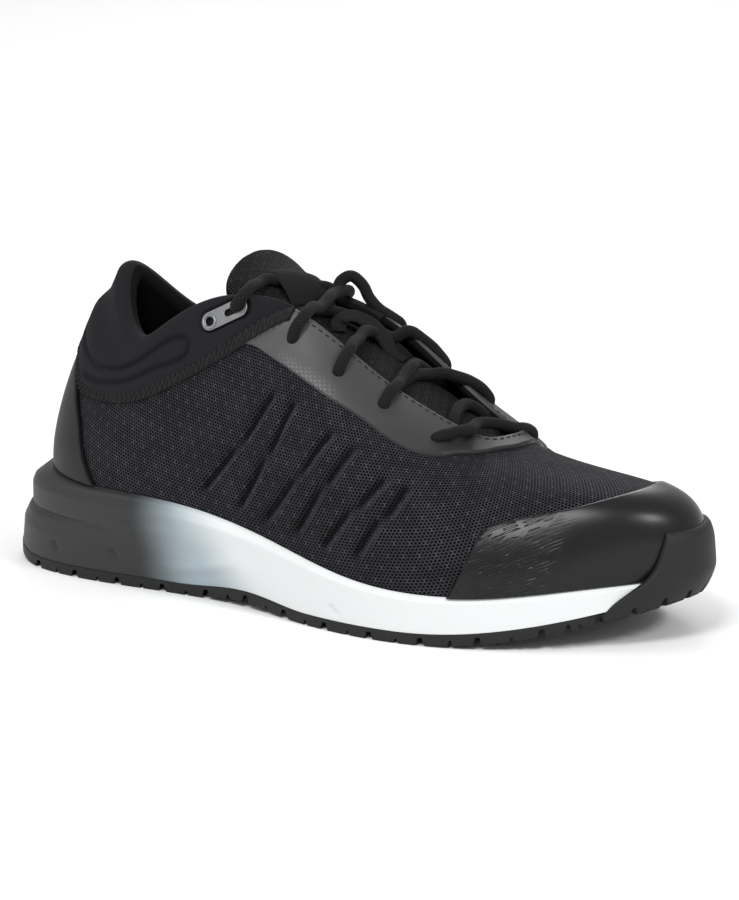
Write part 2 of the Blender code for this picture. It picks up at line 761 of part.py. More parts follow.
def make_keeper(parts):
    # Band sewn down at its front and back that arches over the top run of the lace
    middle = keeper_middle()
    room = 2.0 * LACE_RADIUS / LACE_TILT + 2.0 * LACE_CLEAR
    y = middle + KEEPER_HALF_WIDTH * np.linspace(-1.0, 1.0, KEEPER_COLUMNS)
    sections = []
    for share in np.linspace(-1.0, 1.0, KEEPER_STEPS + 1):
        x = np.full_like(y, KEEPER_FROM_HEEL + 0.5 * KEEPER_ALONG * share)
        arch = KEEPER_SEAT + room * np.sqrt(1.0 - share ** 2)
        low = np.stack([x, y, tongue_top(x, y) + arch], -1)
        high = low + np.array([0.0, 0.0, KEEPER_THICK])
        sections.append(np.concatenate([low, high[::-1]]))
    return swept_solid("tongue_keeper", sections, parts, "tongue_keeper")


def lace_mesh(name, points, cutters):
    # Round cord along points, as a closed mesh
    curve = bpy.data.curves.new(name, "CURVE")
    curve.dimensions = "3D"
    curve.bevel_depth = LACE_RADIUS * MM
    curve.bevel_resolution = 2
    curve.use_fill_caps = True
    spline = curve.splines.new("POLY")
    spline.points.add(len(points) - 1)
    for target, p in zip(spline.points, world(points)):
        target.co = (*p, 1.0)
    guide = bpy.data.objects.new(name, curve)
    cutters.objects.link(guide)
    bpy.context.view_layer.update()
    evaluated = guide.evaluated_get(bpy.context.evaluated_depsgraph_get())
    mesh = bpy.data.meshes.new_from_object(evaluated)
    bpy.data.objects.remove(guide)
    tidy = bmesh.new()
    tidy.from_mesh(mesh)
    bmesh.ops.remove_doubles(tidy, verts=tidy.verts, dist=MERGE_DISTANCE)
    bmesh.ops.recalc_face_normals(tidy, faces=tidy.faces)
    tidy.to_mesh(mesh)
    tidy.free()
    return mesh


def lace_piece(name, runs, parts, cutters):
    # One piece of lace from one run, or from runs that cross and join
    piece = bpy.data.objects.new(name, lace_mesh(name, runs[0], cutters))
    parts.objects.link(piece)
    piece.data.materials.append(material("lace"))
    piece.data.shade_smooth()
    piece.data.set_sharp_from_angle(angle=np.radians(SHARP_ANGLE))
    for i, run in enumerate(runs[1:]):
        form = f"{name}_form_{i}"
        other = bpy.data.objects.new(form, lace_mesh(form, run, cutters))
        cutters.objects.link(other)
        other.hide_render = True
        other.display_type = "WIRE"
        boolean(piece, other, "UNION")
    return piece


def smooth_run(points, count):
    # Smooth curve through points, read at equal steps
    points = np.asarray(points, float)
    knots = np.concatenate([[0.0], np.cumsum(np.linalg.norm(np.diff(points, axis=0), axis=1))])
    tangent = np.gradient(points, knots, axis=0)
    result = []
    for d in np.linspace(0.0, knots[-1], count):
        i = min(max(int(np.searchsorted(knots, d, side="right")) - 1, 0), len(knots) - 2)
        span = knots[i + 1] - knots[i]
        s = (d - knots[i]) / span
        place = (2 * s ** 3 - 3 * s ** 2 + 1) * points[i] + (3 * s ** 2 - 2 * s ** 3) * points[i + 1]
        turn = (s ** 3 - 2 * s ** 2 + s) * tangent[i] + (s ** 3 - s ** 2) * tangent[i + 1]
        result.append(place + turn * span)
    return np.array(result)


def side_place(place, inner):
    return (float(mirrored(place[0])), place[1]) if inner else place


def above_hole(place, inner):
    u, rise = side_place(place, inner)
    return skin(u, rise, OVERLAY_GAP + OVERLAY_WALL + LACE_CLEAR + LACE_RADIUS)


def above_edge(place, inner, lift):
    # Just over the throat edge beside a lace hole
    u, _ = side_place(place, inner)
    height = LACE_RADIUS + LACE_CLEAR + lift
    return skin(u, 1.0, OVERLAY_GAP + OVERLAY_WALL) + np.array([0.0, 0.0, height])


def over_tongue(a, b, share, lift):
    p = a * (1.0 - share) + b * share
    floor = tongue_top(p[0], p[1]) + LACE_RADIUS / LACE_TILT + LACE_CLEAR
    return np.array([p[0], p[1], max(p[2], floor) + lift])


def inside_edge(low_place, high_place, inner):
    # Inside the throat, beside its edge and a little past a lace hole
    between = low_place[0] + (high_place[0] - low_place[0]) * START_SHARE
    u, _ = side_place((between, 1.0), inner)
    edge = upper_at(u, 1.0)
    y = edge[1] + (-1.0 if inner else 1.0) * START_INSIDE
    return np.array([edge[0], y, tongue_top(edge[0], y) + LACE_RADIUS / LACE_TILT + LACE_CLEAR])


def crossing(low_place, high_place, to_inner):
    # From beside one hole, over the tongue, to the next hole on the other side
    start = inside_edge(low_place, high_place, not to_inner)
    edge = above_edge(high_place, to_inner, LACE_LIFT)
    end = above_hole(high_place, to_inner)
    middle = [over_tongue(start, edge, share, LACE_LIFT) for share in CROSS_SHARES]
    return smooth_run([start, *middle, edge, end], CROSS_STEPS)


def make_laces(parts, cutters):
    pieces = []
    first = EYELET_ROWS[0]
    bar = [above_hole(first, False), above_edge(first, False, LACE_LIFT)]
    far = [above_edge(first, True, LACE_LIFT), above_hole(first, True)]
    middle = [over_tongue(bar[1], far[0], share, LACE_LIFT) for share in BAR_SHARES]
    run = smooth_run(bar + middle + far, BAR_STEPS)
    pieces.append(lace_piece("lace_bar_front", [run], parts, cutters))
    for i, (low, high) in enumerate(zip(EYELET_ROWS[:-1], EYELET_ROWS[1:])):
        runs = [crossing(low, high, True), crossing(low, high, False)]
        pieces.append(lace_piece(f"lace_cross_{i + 1}", runs, parts, cutters))
    return pieces


def make_lace_top(parts, cutters):
    # From one plate, over the tongue and under the band, to the other plate
    middle = keeper_middle()
    floor = LACE_RADIUS / LACE_TILT + LACE_CLEAR
    stand = COLLAR_GAP + COLLAR_PANEL + PLATE_THICK + 2.0 * LACE_CLEAR + LACE_RADIUS
    height = COLLAR_ROLL + COLLAR_GAP + LACE_RADIUS + LIP_LIFT
    run = []
    for inner in (False, True):
        u, rise = side_place((PLATE_TO[0], TOP_RISE), inner)
        lip = skin(u, 1.0, LIP_OUT) + np.array([0.0, 0.0, height])
        run.append([skin(u, rise, stand), lip])
    band = []
    for share in BAND_SHARES:
        y = middle + KEEPER_HALF_WIDTH * share
        band.append([KEEPER_FROM_HEEL, y, tongue_top(KEEPER_FROM_HEEL, y) + floor])
    points = [*run[0], *band, run[1][1], run[1][0]]
    return lace_piece("lace_bar_top", [smooth_run(points, TOP_STEPS)], parts, cutters)


def stadium(length, width, steps):
    # Outline with two straight sides and two round ends
    turn = np.linspace(-np.pi / 2.0, np.pi / 2.0, steps)
    radius = width / 2.0
    reach = (length - width) / 2.0
    ends = [(reach + radius * np.cos(a), radius * np.sin(a)) for a in turn]
    return ends + [(-x, -y) for x, y in ends]


def make_plate(name, inner, parts):
    # Metal plate on the collar with a hole for the lace
    u0, rise0 = side_place(PLATE_FROM, inner)
    u1, rise1 = side_place(PLATE_TO, inner)
    offset = COLLAR_GAP + COLLAR_PANEL + GAP + PLATE_THICK
    start, end = skin(u0, rise0, offset), skin(u1, rise1, offset)
    middle = skin(0.5 * (u0 + u1), 0.5 * (rise0 + rise1), offset)
    along = Vector(end - start).normalized()
    out = Vector(upper_normal(0.5 * (u0 + u1), 0.5 * (rise0 + rise1)))
    side = out.cross(along).normalized()
    out = along.cross(side)
    curve = bpy.data.curves.new(name, "CURVE")
    curve.dimensions = "2D"
    curve.fill_mode = "BOTH"
    curve.extrude = PLATE_THICK * MM / 2.0
    hole_x = -(PLATE_LENGTH - PLATE_WIDTH) / 2.0
    turn = np.linspace(0.0, 2.0 * np.pi, ROUND_STEPS, endpoint=False)
    hole = [(hole_x + PLATE_HOLE / 2.0 * np.cos(a), PLATE_HOLE / 2.0 * np.sin(a)) for a in turn]
    for outline in (stadium(PLATE_LENGTH, PLATE_WIDTH, ROUND_STEPS // 2 + 1), hole):
        spline = curve.splines.new("POLY")
        spline.use_cyclic_u = True
        spline.points.add(len(outline) - 1)
        for target, (x, y) in zip(spline.points, outline):
            target.co = (x * MM, y * MM, 0.0, 1.0)
    piece = bpy.data.objects.new(name, curve)
    curve.materials.append(material("lace_plate"))
    place = Matrix((along, side, out)).transposed().to_4x4()
    place.translation = Vector(world(middle))
    piece.matrix_world = place
    parts.objects.link(piece)
    return piece


def main():
    for old in list(bpy.data.objects):
        bpy.data.objects.remove(old)
    parts = new_collection(SHOE_NAME)
    cutters = new_collection("cutters")
    make_outsole(parts, cutters)
    make_midsole(parts)
    make_insole(parts)
    shell("upper", keep_all, 0.0, UPPER_WALL, parts, "upper")
    over = OVERLAY_GAP + OVERLAY_WALL
    shell("toe_cap", keep_toe_cap, over, OVERLAY_WALL, parts, "toe_cap")
    shell("heel_counter", keep_counter, over, OVERLAY_WALL, parts, "heel_counter")
    shell("eyestay", keep_eyestay, over + EYESTAY_LIFT, OVERLAY_WALL, parts, "eyestay")
    make_collar(parts)
    make_tongue(parts)
    make_keeper(parts)
    make_laces(parts, cutters)
    make_lace_top(parts, cutters)
    make_plate("lace_plate_lateral", False, parts)
    make_plate("lace_plate_medial", True, parts)


main()
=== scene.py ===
import bmesh
import bpy
import numpy as np
from mathutils import Matrix, Vector


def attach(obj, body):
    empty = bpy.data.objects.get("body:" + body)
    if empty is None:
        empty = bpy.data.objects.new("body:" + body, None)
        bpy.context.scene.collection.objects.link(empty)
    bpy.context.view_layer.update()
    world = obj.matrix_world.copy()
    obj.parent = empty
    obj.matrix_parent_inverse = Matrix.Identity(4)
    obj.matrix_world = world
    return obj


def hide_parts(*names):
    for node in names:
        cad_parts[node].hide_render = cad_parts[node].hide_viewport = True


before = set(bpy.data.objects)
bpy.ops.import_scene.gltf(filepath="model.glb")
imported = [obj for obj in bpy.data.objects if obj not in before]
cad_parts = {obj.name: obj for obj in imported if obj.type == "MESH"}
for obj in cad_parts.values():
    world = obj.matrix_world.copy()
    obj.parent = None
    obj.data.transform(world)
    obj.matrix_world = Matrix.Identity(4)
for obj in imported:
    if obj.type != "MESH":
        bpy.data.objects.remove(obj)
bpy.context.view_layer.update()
bpy.ops.object.select_all(action="DESELECT")
mm = 0.001
print("frame loaded,", len(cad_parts), "nodes")

# Shape of the shoe, in millimetres from the back of the heel, toe along +X, outer side along -Y
last = {
    "middle": (150.95, 0.25),
    # rimX, rimY, rimZ, ledgeIn, ledgeUp, tuck, tier, from the heel round the outer side
    "rim": (
        (4.0, 0.0, 34.0, 10.2, 7.0, -5.0, 1.0),
        (15.0, -28.0, 34.0, 9.6, 5.8, -4.0, 1.0),
        (42.0, -41.5, 34.5, 4.6, 4.0, -1.0, 0.8),
        (106.0, -49.8, 35.0, 2.5, 2.3, 7.8, 0.0),
        (143.0, -52.0, 29.5, 2.0, 1.3, 3.8, 0.0),
        (187.0, -56.5, 20.3, 1.8, 0.9, 0.5, 0.0),
        (230.0, -50.0, 18.6, 1.8, 0.8, 0.0, 0.0),
        (271.0, -27.0, 23.0, 2.2, 1.0, 0.0, 0.0),
        (299.0, 10.0, 26.0, 2.5, 1.0, 0.0, 0.0),
        (281.0, 38.5, 24.5, 2.2, 1.0, 0.0, 0.0),
        (246.0, 52.0, 20.5, 1.8, 0.8, 0.0, 0.0),
        (203.0, 57.0, 20.0, 1.8, 0.9, 1.0, 0.0),
        (150.0, 45.5, 30.0, 2.0, 1.3, 4.5, 0.0),
        (105.0, 38.2, 36.5, 2.5, 2.3, 9.8, 0.0),
        (48.0, 37.5, 35.0, 4.6, 4.0, 0.0, 0.8),
        (15.0, 27.0, 34.0, 9.6, 5.8, -4.0, 1.0),
    ),
    # openX, openY, openZ, lowOut, lowUp, topOut, topDown, at the same places
    "opening": (
        (44.0, 0.0, 118.5, 0.5, 28.0, 16.0, 22.0),
        (52.5, -18.0, 105.0, 1.0, 25.0, 10.0, 25.0),
        (66.0, -28.0, 93.5, 1.0, 22.0, 5.0, 20.0),
        (98.0, -31.0, 110.0, 0.0, 24.0, 6.0, 28.0),
        (131.0, -26.5, 118.5, 1.0, 30.0, 12.0, 28.0),
        (168.0, -16.5, 94.5, 3.0, 35.0, 28.0, 8.0),
        (193.0, -11.5, 79.0, 3.0, 26.0, 26.0, 8.0),
        (210.0, -4.0, 69.8, 3.0, 26.0, 42.0, 15.5),
        (216.0, 7.0, 68.5, 4.6, 41.0, 53.0, 19.0),
        (216.0, 16.0, 68.8, 5.0, 31.0, 29.5, 25.0),
        (205.0, 20.5, 72.0, 3.0, 28.0, 19.0, 17.0),
        (180.0, 20.5, 88.5, 2.0, 34.0, 21.0, 13.0),
        (139.0, 26.5, 108.0, 1.0, 30.0, 12.0, 24.0),
        (98.0, 30.0, 108.0, 2.0, 24.0, 5.0, 26.0),
        (69.0, 28.0, 93.5, 1.0, 22.0, 5.0, 20.0),
        (53.0, 17.5, 105.0, 1.0, 25.0, 9.0, 25.0),
    ),
    "toeRow": 8,  # the row at the tip of the toe
    "wall": 2.2,  # thickness of the upper
    # ground line under the sole
    "heelBevel": (25.0, 5.0),  # run and rise at the heel
    "arch": (95.0, 165.0, 2.4),  # start, end and rise
    "spring": (204.0, 96.0, 18.5),  # start, run and rise at the toe
    "tread": 4.4,  # thickness of the outsole
}

rimRows = np.array(last["rim"])
openRows = np.array(last["opening"])
rimSteps = np.linalg.norm(np.roll(rimRows[:, :2], -1, 0) - rimRows[:, :2], axis=1)
rimLength = rimSteps.sum()
knots = np.concatenate([[0.0], np.cumsum(rimSteps)[:-1]]) / rimLength
toe = knots[last["toeRow"]]
outerKnots = knots[:last["toeRow"] + 1]
innerKnots = np.concatenate([[1.0], knots[:last["toeRow"] - 1:-1]])


def unit(v):
    return v / np.linalg.norm(v, axis=-1, keepdims=True)


def runAlong(points):  # length of a line from its first point to each of its points
    return np.concatenate([[0.0], np.cumsum(np.linalg.norm(np.diff(points, axis=0), axis=1))])


def closedSpline(u, rows):  # smooth ring through rows, 1 is once round the shoe
    count = len(knots)
    span = np.diff(np.append(knots, 1.0))
    system = np.zeros((count, count))
    for i in range(count):
        system[i, i - 1] += span[i - 1]
        system[i, i] += 2 * (span[i - 1] + span[i])
        system[i, (i + 1) % count] += span[i]
    slope = (np.roll(rows, -1, 0) - rows) / span[:, None]
    bend = np.linalg.solve(system, 6 * (slope - np.roll(slope, 1, 0)))
    u = np.mod(np.asarray(u, float), 1.0)
    i = np.clip(np.searchsorted(knots, u, side="right") - 1, 0, count - 1)
    j = (i + 1) % count
    width = span[i][..., None]
    b = (u - knots[i])[..., None] / width
    a = 1 - b
    curve = (a ** 3 - a) * bend[i] + (b ** 3 - b) * bend[j]
    return a * rows[i] + b * rows[j] + curve * width ** 2 / 6


def facing(u):  # inner place that faces an outer one
    return np.interp(u, outerKnots, innerKnots)


def outerOf(u):  # outer place that stands for any place
    u = np.mod(u, 1.0)
    return np.where(u <= toe, u, np.interp(u, innerKnots[::-1], outerKnots[::-1]))


def outward(u):  # level direction away from the foot
    u = np.asarray(u, float)
    step = 0.002
    run = unit((closedSpline(u + step, rimRows) - closedSpline(u - step, rimRows))[..., :2])
    return np.stack([run[..., 1], -run[..., 0], np.zeros(run.shape[:-1])], -1)


def featherAt(u):  # line where the upper meets the midsole
    row = closedSpline(u, rimRows)
    edge = np.stack([row[..., 0], row[..., 1], row[..., 2] + row[..., 4]], -1)
    return edge - outward(u) * row[..., 3:4]


def upperAt(u, rise):  # outer surface, rise 0 at the sole and 1 at the opening edge
    rise = np.asarray(rise, float)[..., None]
    row = closedSpline(u, openRows)
    out = outward(u)
    up = np.array([0.0, 0.0, 1.0])
    low = featherAt(u)
    top = row[..., :3]
    lowHandle = low + out * row[..., 3:4] + up * row[..., 4:5]
    topHandle = top + out * row[..., 5:6] - up * row[..., 6:7]
    rest = 1 - rise
    lower = rest ** 3 * low + 3 * rest ** 2 * rise * lowHandle
    return lower + 3 * rest * rise ** 2 * topHandle + rise ** 3 * top


def upperNormal(u, rise):  # the way the outer surface faces
    step = 0.004
    u = np.asarray(u, float)
    rise = np.clip(np.asarray(rise, float), step, 1 - step)
    around = upperAt(u + step, rise) - upperAt(u - step, rise)
    along = upperAt(u, rise + step) - upperAt(u, rise - step)
    return unit(np.cross(around, along))


def skin(u, rise, lift):  # places over the outer surface, lift in millimetres
    return upperAt(u, rise) + upperNormal(u, rise) * np.asarray(lift, float)[..., None]


def groundAt(x):  # height of the underside over the floor
    bevelRun, bevelRise = last["heelBevel"]
    archFrom, archTo, archRise = last["arch"]
    springFrom, springRun, springRise = last["spring"]
    heel = bevelRise * np.clip((bevelRun - x) / bevelRun, 0, None) ** 2
    arch = archRise * np.sin(np.pi * np.clip((x - archFrom) / (archTo - archFrom), 0, 1)) ** 2
    return heel + arch + springRise * np.clip((x - springFrom) / springRun, 0, None) ** 2


def smoothLine(x, rows):  # smooth curve through short tables, first column is the place
    rows = np.asarray(rows, float)
    knot, value = rows[:, 0], rows[:, 1:]
    tangent = np.gradient(value, knot, axis=0)
    x = np.clip(np.asarray(x, float), knot[0], knot[-1])
    i = np.clip(np.searchsorted(knot, x, side="right") - 1, 0, len(knot) - 2)
    span = (knot[i + 1] - knot[i])[..., None]
    s = (x - knot[i])[..., None] / span
    low = (2 * s ** 3 - 3 * s ** 2 + 1) * value[i] + (s ** 3 - 2 * s ** 2 + s) * span * tangent[i]
    high = (3 * s ** 2 - 2 * s ** 3) * value[i + 1] + (s ** 3 - s ** 2) * span * tangent[i + 1]
    return low + high


def smoothRoute(points, spacing):  # even points on a smooth curve through a route
    points = np.asarray(points, float)
    reach = runAlong(points)
    fine = smoothLine(np.linspace(0, reach[-1], 40 * len(points)), np.column_stack([reach, points]))
    run = runAlong(fine)
    at = np.linspace(0, run[-1], max(3, int(run[-1] / spacing)))
    return np.stack([np.interp(at, run, fine[:, k]) for k in range(3)], -1)


def byPlace(u, table):  # value of a table of outer places, at any place
    return smoothLine(outerOf(u), table)[..., 0]


def gridFaces(rows, cols, start=0, ring=False):  # ring joins the last column to the first
    r = np.arange(rows - 1)[:, None]
    c = np.arange(cols if ring else cols - 1)[None, :]
    d = (c + 1) % cols
    quads = np.stack([r * cols + c, r * cols + d, (r + 1) * cols + d, (r + 1) * cols + c], -1)
    return quads.reshape(-1, 4) + start


def loopFaces(rows, cols, ring=False):  # a grid whose last row joins its first
    return gridFaces(rows + 1, cols, 0, ring) % (rows * cols)


def tubeFaces(count, sides, start=0):  # rings one after another, with a flat cap at each end
    first = list(range(start, start + sides))
    caps = [first[::-1], [k + (count - 1) * sides for k in first]]
    return gridFaces(count, sides, start, ring=True).tolist() + caps


def shellFaces(rows, cols):  # a grid, the grid behind it and the wall round both
    behind = rows * cols
    across, down = np.arange(cols), np.arange(rows) * cols
    edge = np.concatenate([across, down[1:] + cols - 1, down[-1] + across[-2::-1], down[-2:0:-1]])
    follow = np.roll(edge, -1)
    wall = np.stack([edge, edge + behind, follow + behind, follow], -1)
    return np.concatenate([gridFaces(rows, cols), gridFaces(rows, cols, behind)[:, ::-1], wall])


def toWorld(points):  # from millimetres from the heel to metres in the frame
    return (np.asarray(points, float) - np.array([*last["middle"], 0.0])) * mm


def cornerPoints(mesh):  # the point at each corner of each face
    corner = np.zeros(len(mesh.loops), np.int32)
    mesh.loops.foreach_get("vertex_index", corner)
    return corner


# slots go by face and uv by point, and edges sharper than sharp degrees stay hard
def addPiece(name, points, faces, finishes, slots=None, uv=None, sharp=None):
    mesh = bpy.data.meshes.new(name)
    mesh.from_pydata(toWorld(points).tolist(), [], [list(face) for face in faces])
    shape = bmesh.new()
    shape.from_mesh(mesh)
    bmesh.ops.recalc_face_normals(shape, faces=shape.faces)
    shape.to_mesh(mesh)
    shape.free()
    for finish in finishes:
        mesh.materials.append(finish)
    if slots is not None:
        mesh.polygons.foreach_set("material_index", np.asarray(slots, np.int32))
    if uv is not None:
        layer = mesh.uv_layers.new(name="cloth")
        layer.data.foreach_set("uv", np.asarray(uv, np.float32)[cornerPoints(mesh)].ravel())
    mesh.shade_smooth()
    if sharp:
        mesh.set_sharp_from_angle(angle=np.radians(sharp))
    piece = bpy.data.objects.new(name, mesh)
    bpy.context.scene.collection.objects.link(piece)
    return piece


def addShell(name, front, behind, finish):  # two grids and the wall round both
    points = np.concatenate([front.reshape(-1, 3), behind.reshape(-1, 3)])
    return addPiece(name, points, shellFaces(*front.shape[:2]).tolist(), [finish])


def settle(piece, slotName, *nodes):  # piece rides with the shoe and stands for its CAD nodes
    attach(piece, "root")
    if nodes:
        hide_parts(*nodes)
    return piece


def lineRelief(points, lines, width):  # soft ridge of height 1 along lines, each row x, y, z and strength
    relief = np.zeros(points.shape[:-1])
    flat = points.reshape(-1, 3)
    for line in lines:
        near = ((flat > line[:, :3].min(0) - 4 * width) & (flat < line[:, :3].max(0) + 4 * width)).all(1)
        gap = np.linalg.norm(flat[near][:, None] - line[None, :, :3], axis=2)
        height = (line[None, :, 3] * np.exp(-(gap / width) ** 2)).max(1) if near.any() else 0
        relief.reshape(-1)[near] = np.maximum(relief.reshape(-1)[near], height)
    return relief


def edgeGap(grid):  # distance of each grid point from the four edges, along rows and columns
    down = np.linalg.norm(np.diff(grid, axis=0), axis=2)
    side = np.linalg.norm(np.diff(grid, axis=1), axis=2)
    up = np.concatenate([np.zeros((1, grid.shape[1])), np.cumsum(down, 0)])
    left = np.concatenate([np.zeros((grid.shape[0], 1)), np.cumsum(side, 1)], 1)
    return up, up[-1:] - up, left, left[:, -1:] - left


def roundedEdge(gap, radius, least=0.0):  # least at an edge, rising to 1 over the radius as a quarter round
    share = np.clip(gap / radius, 0, 1)
    return least + (1 - least) * np.sqrt(1 - (1 - share) ** 2)


def tubeGrid(route, radius, sides):  # rings round a route, carried along without twist
    run = unit(np.gradient(route, axis=0))
    side = unit(np.cross(run[0], [0.0, 0.0, 1.0]))
    turn = np.linspace(0, 2 * np.pi, sides, endpoint=False)[:, None]
    rings = []
    for place, along in zip(route, run):
        side = unit(side - along * (side @ along))
        rings.append(place + radius * (np.cos(turn) * side + np.sin(turn) * np.cross(along, side)))
    return np.array(rings)


def joinTubes(routes, radius, sides):  # points, faces and uv of several closed tubes
    points, faces, uv, start = [], [], [], 0
    for route in routes:
        count = len(route)
        points.append(tubeGrid(route, radius, sides).reshape(-1, 3))
        faces += tubeFaces(count, sides, start)
        uv.append(np.stack([np.repeat(runAlong(route), sides), np.tile(np.arange(sides) / sides, count)], -1))
        start += count * sides
    return np.concatenate(points), faces, np.concatenate(uv)


class Value:  # shader socket that takes part in sums
    def __init__(self, finish, out):
        self.finish = finish
        self.out = out

    def maths(self, operation, first, second=None):
        inputs = {0: first} if second is None else {0: first, 1: second}
        return self.finish.node("ShaderNodeMath", {"operation": operation}, inputs)

    def __add__(self, other):
        return self.maths("ADD", self, other)

    def __sub__(self, other):
        return self.maths("SUBTRACT", self, other)

    def __rsub__(self, other):
        return self.maths("SUBTRACT", other, self)

    def __mul__(self, other):
        return self.maths("MULTIPLY", self, other)

    def __truediv__(self, other):
        return self.maths("DIVIDE", self, other)

    def __pow__(self, other):
        return self.maths("POWER", self, other)

    def __mod__(self, other):
        return self.maths("FLOORED_MODULO", self, other)

    __radd__ = __add__
    __rmul__ = __mul__


socketNames = {"colour": "Base Color", "roughness": "Roughness", "metallic": "Metallic", "normal": "Normal",
               "specular": "Specular IOR Level", "sheen": "Sheen Weight", "sheenRoughness": "Sheen Roughness"}


class Finish:  # one material and the nodes that feed it
    def __init__(self, name, **settings):
        self.material = bpy.data.materials.new(name)
        self.material.use_nodes = True
        self.tree = self.material.node_tree
        self.shader = self.tree.nodes["Principled BSDF"]
        for key, value in settings.items():
            self.feed(key, value)

    def plug(self, socket, value):  # a link from another node, or a plain value
        if isinstance(value, Value):
            self.tree.links.new(value.out, socket)
        else:
            socket.default_value = value

    def feed(self, key, value):
        self.plug(self.shader.inputs[socketNames[key]], value)

    def node(self, kind, settings=None, inputs=None, output=0):
        made = self.tree.nodes.new(kind)
        for key, value in (settings or {}).items():
            setattr(made, key, value)
        for key, value in (inputs or {}).items():
            self.plug(made.inputs[key], value)
        return Value(self, made.outputs[output])

    def place(self, source="Object"):  # x, y and z of the place, in millimetres for Object
        at = self.node("ShaderNodeTexCoord", output=source)
        parts = [self.node("ShaderNodeSeparateXYZ", None, {0: at}, k) for k in range(3)]
        return [part * (1 / mm) for part in parts] if source == "Object" else parts

    def noise(self, scale, detail=3.0, rough=0.55):  # grains to a metre
        at = self.node("ShaderNodeTexCoord", output="Object")
        inputs = {"Vector": at, "Scale": scale, "Detail": detail, "Roughness": rough}
        return self.node("ShaderNodeTexNoise", None, inputs)

    def ease(self, value, low, high):  # 0 below low, 1 above high, soft between
        return self.node("ShaderNodeMapRange", {"interpolation_type": "SMOOTHSTEP"},
                         {"Value": value, "From Min": low, "From Max": high})

    def wave(self, value):  # 0 to 1 and back for each unit
        turn = value * (2 * np.pi)
        return turn.maths("SINE", turn) * 0.5 + 0.5

    def mix(self, share, first, second):  # each end is a colour or a value
        ends = [end if isinstance(end, Value) else (*end, 1.0) for end in (first, second)]
        return self.node("ShaderNodeMix", {"data_type": "RGBA"}, {0: share, 6: ends[0], 7: ends[1]}, 2)

    def bump(self, height, depth, strength=1.0):  # depth in millimetres
        inputs = {"Height": height, "Distance": depth * mm, "Strength": strength}
        self.feed("normal", self.node("ShaderNodeBump", None, inputs))

    def dots(self, a, b):  # gap from the nearest point of a close-packed field, in cells
        half = 0.8660254  # from one row of points to the next
        first = ((a % 1.0) - 0.5) ** 2 + ((b % (2 * half)) - half) ** 2
        second = (((a + 0.5) % 1.0) - 0.5) ** 2 + (((b + half) % (2 * half)) - half) ** 2
        return first.maths("MINIMUM", first, second) ** 0.5


knit = {  # open knit: sizes in cells, shares of the paler thread, of the painted highlight on rib ridges and of the painted shade in rib grooves, depth in millimetres
    "hole": (0.25, 0.43), "knotStep": 4, "knot": (0.10, 0.22), "knotShare": 0.65,
    "patches": 110.0, "patch": (0.3, 0.75), "patchShare": 0.35,
    "ridge": (0.2, 0.9), "ridgeHighlight": 0.3, "groove": (0.15, 0.9), "grooveShade": 0.85,
    "paler": 2.6, "depth": 0.5,
}


def meshFinish(name, cell, thread, hole):  # open knit over a dark backing, on the piece's cloth map
    finish = Finish(name, specular=0.12)
    a, b, _ = finish.place("UV")
    hollow = 1.0 - finish.ease(finish.dots(a / cell, b / cell), *knit["hole"])
    wide = cell * knit["knotStep"]
    knot = 1.0 - finish.ease(finish.dots(a / wide + 0.5 / knit["knotStep"], b / wide), *knit["knot"])
    patchy = finish.ease(finish.noise(knit["patches"]), *knit["patch"])
    pale = tuple(t * knit["paler"] for t in thread)
    light = finish.mix(patchy * knit["patchShare"] + knot * knit["knotShare"], thread, pale)
    cloth = finish.mix(hollow, light, hole)
    relief = finish.node("ShaderNodeAttribute", {"attribute_name": "relief"}, None, "Fac")
    # painted highlight: the rib ridges are lightened towards the paler thread
    cloth = finish.mix(finish.ease(relief, *knit["ridge"]) * knit["ridgeHighlight"], cloth, pale)
    # painted shade: the rib grooves are darkened towards the hole colour
    sunk = finish.ease(0.0 - relief, *knit["groove"])
    finish.feed("colour", finish.mix(sunk * knit["grooveShade"], cloth, hole))
    finish.feed("roughness", 0.62 + hollow * 0.3)
    finish.bump(1.0 - hollow, knit["depth"], 0.9)
    return finish.material


# where the knit shows through the eyestay along its low edge, and the painted shade that darkens its front
# towards the toe, in millimetres
eyestayWearAndShade = {
    "edge": 92.4, "slope": -0.464, "starts": (-14.0, -4.0), "ends": (8.0, 20.0), "reach": (1.5, 7.0),
    "cell": 1.6, "knot": (0.22, 0.42), "pale": (0.15, 0.15, 0.155),
    "frontShadeStarts": (48.0, 68.0), "front": (0.010, 0.010, 0.011),
}


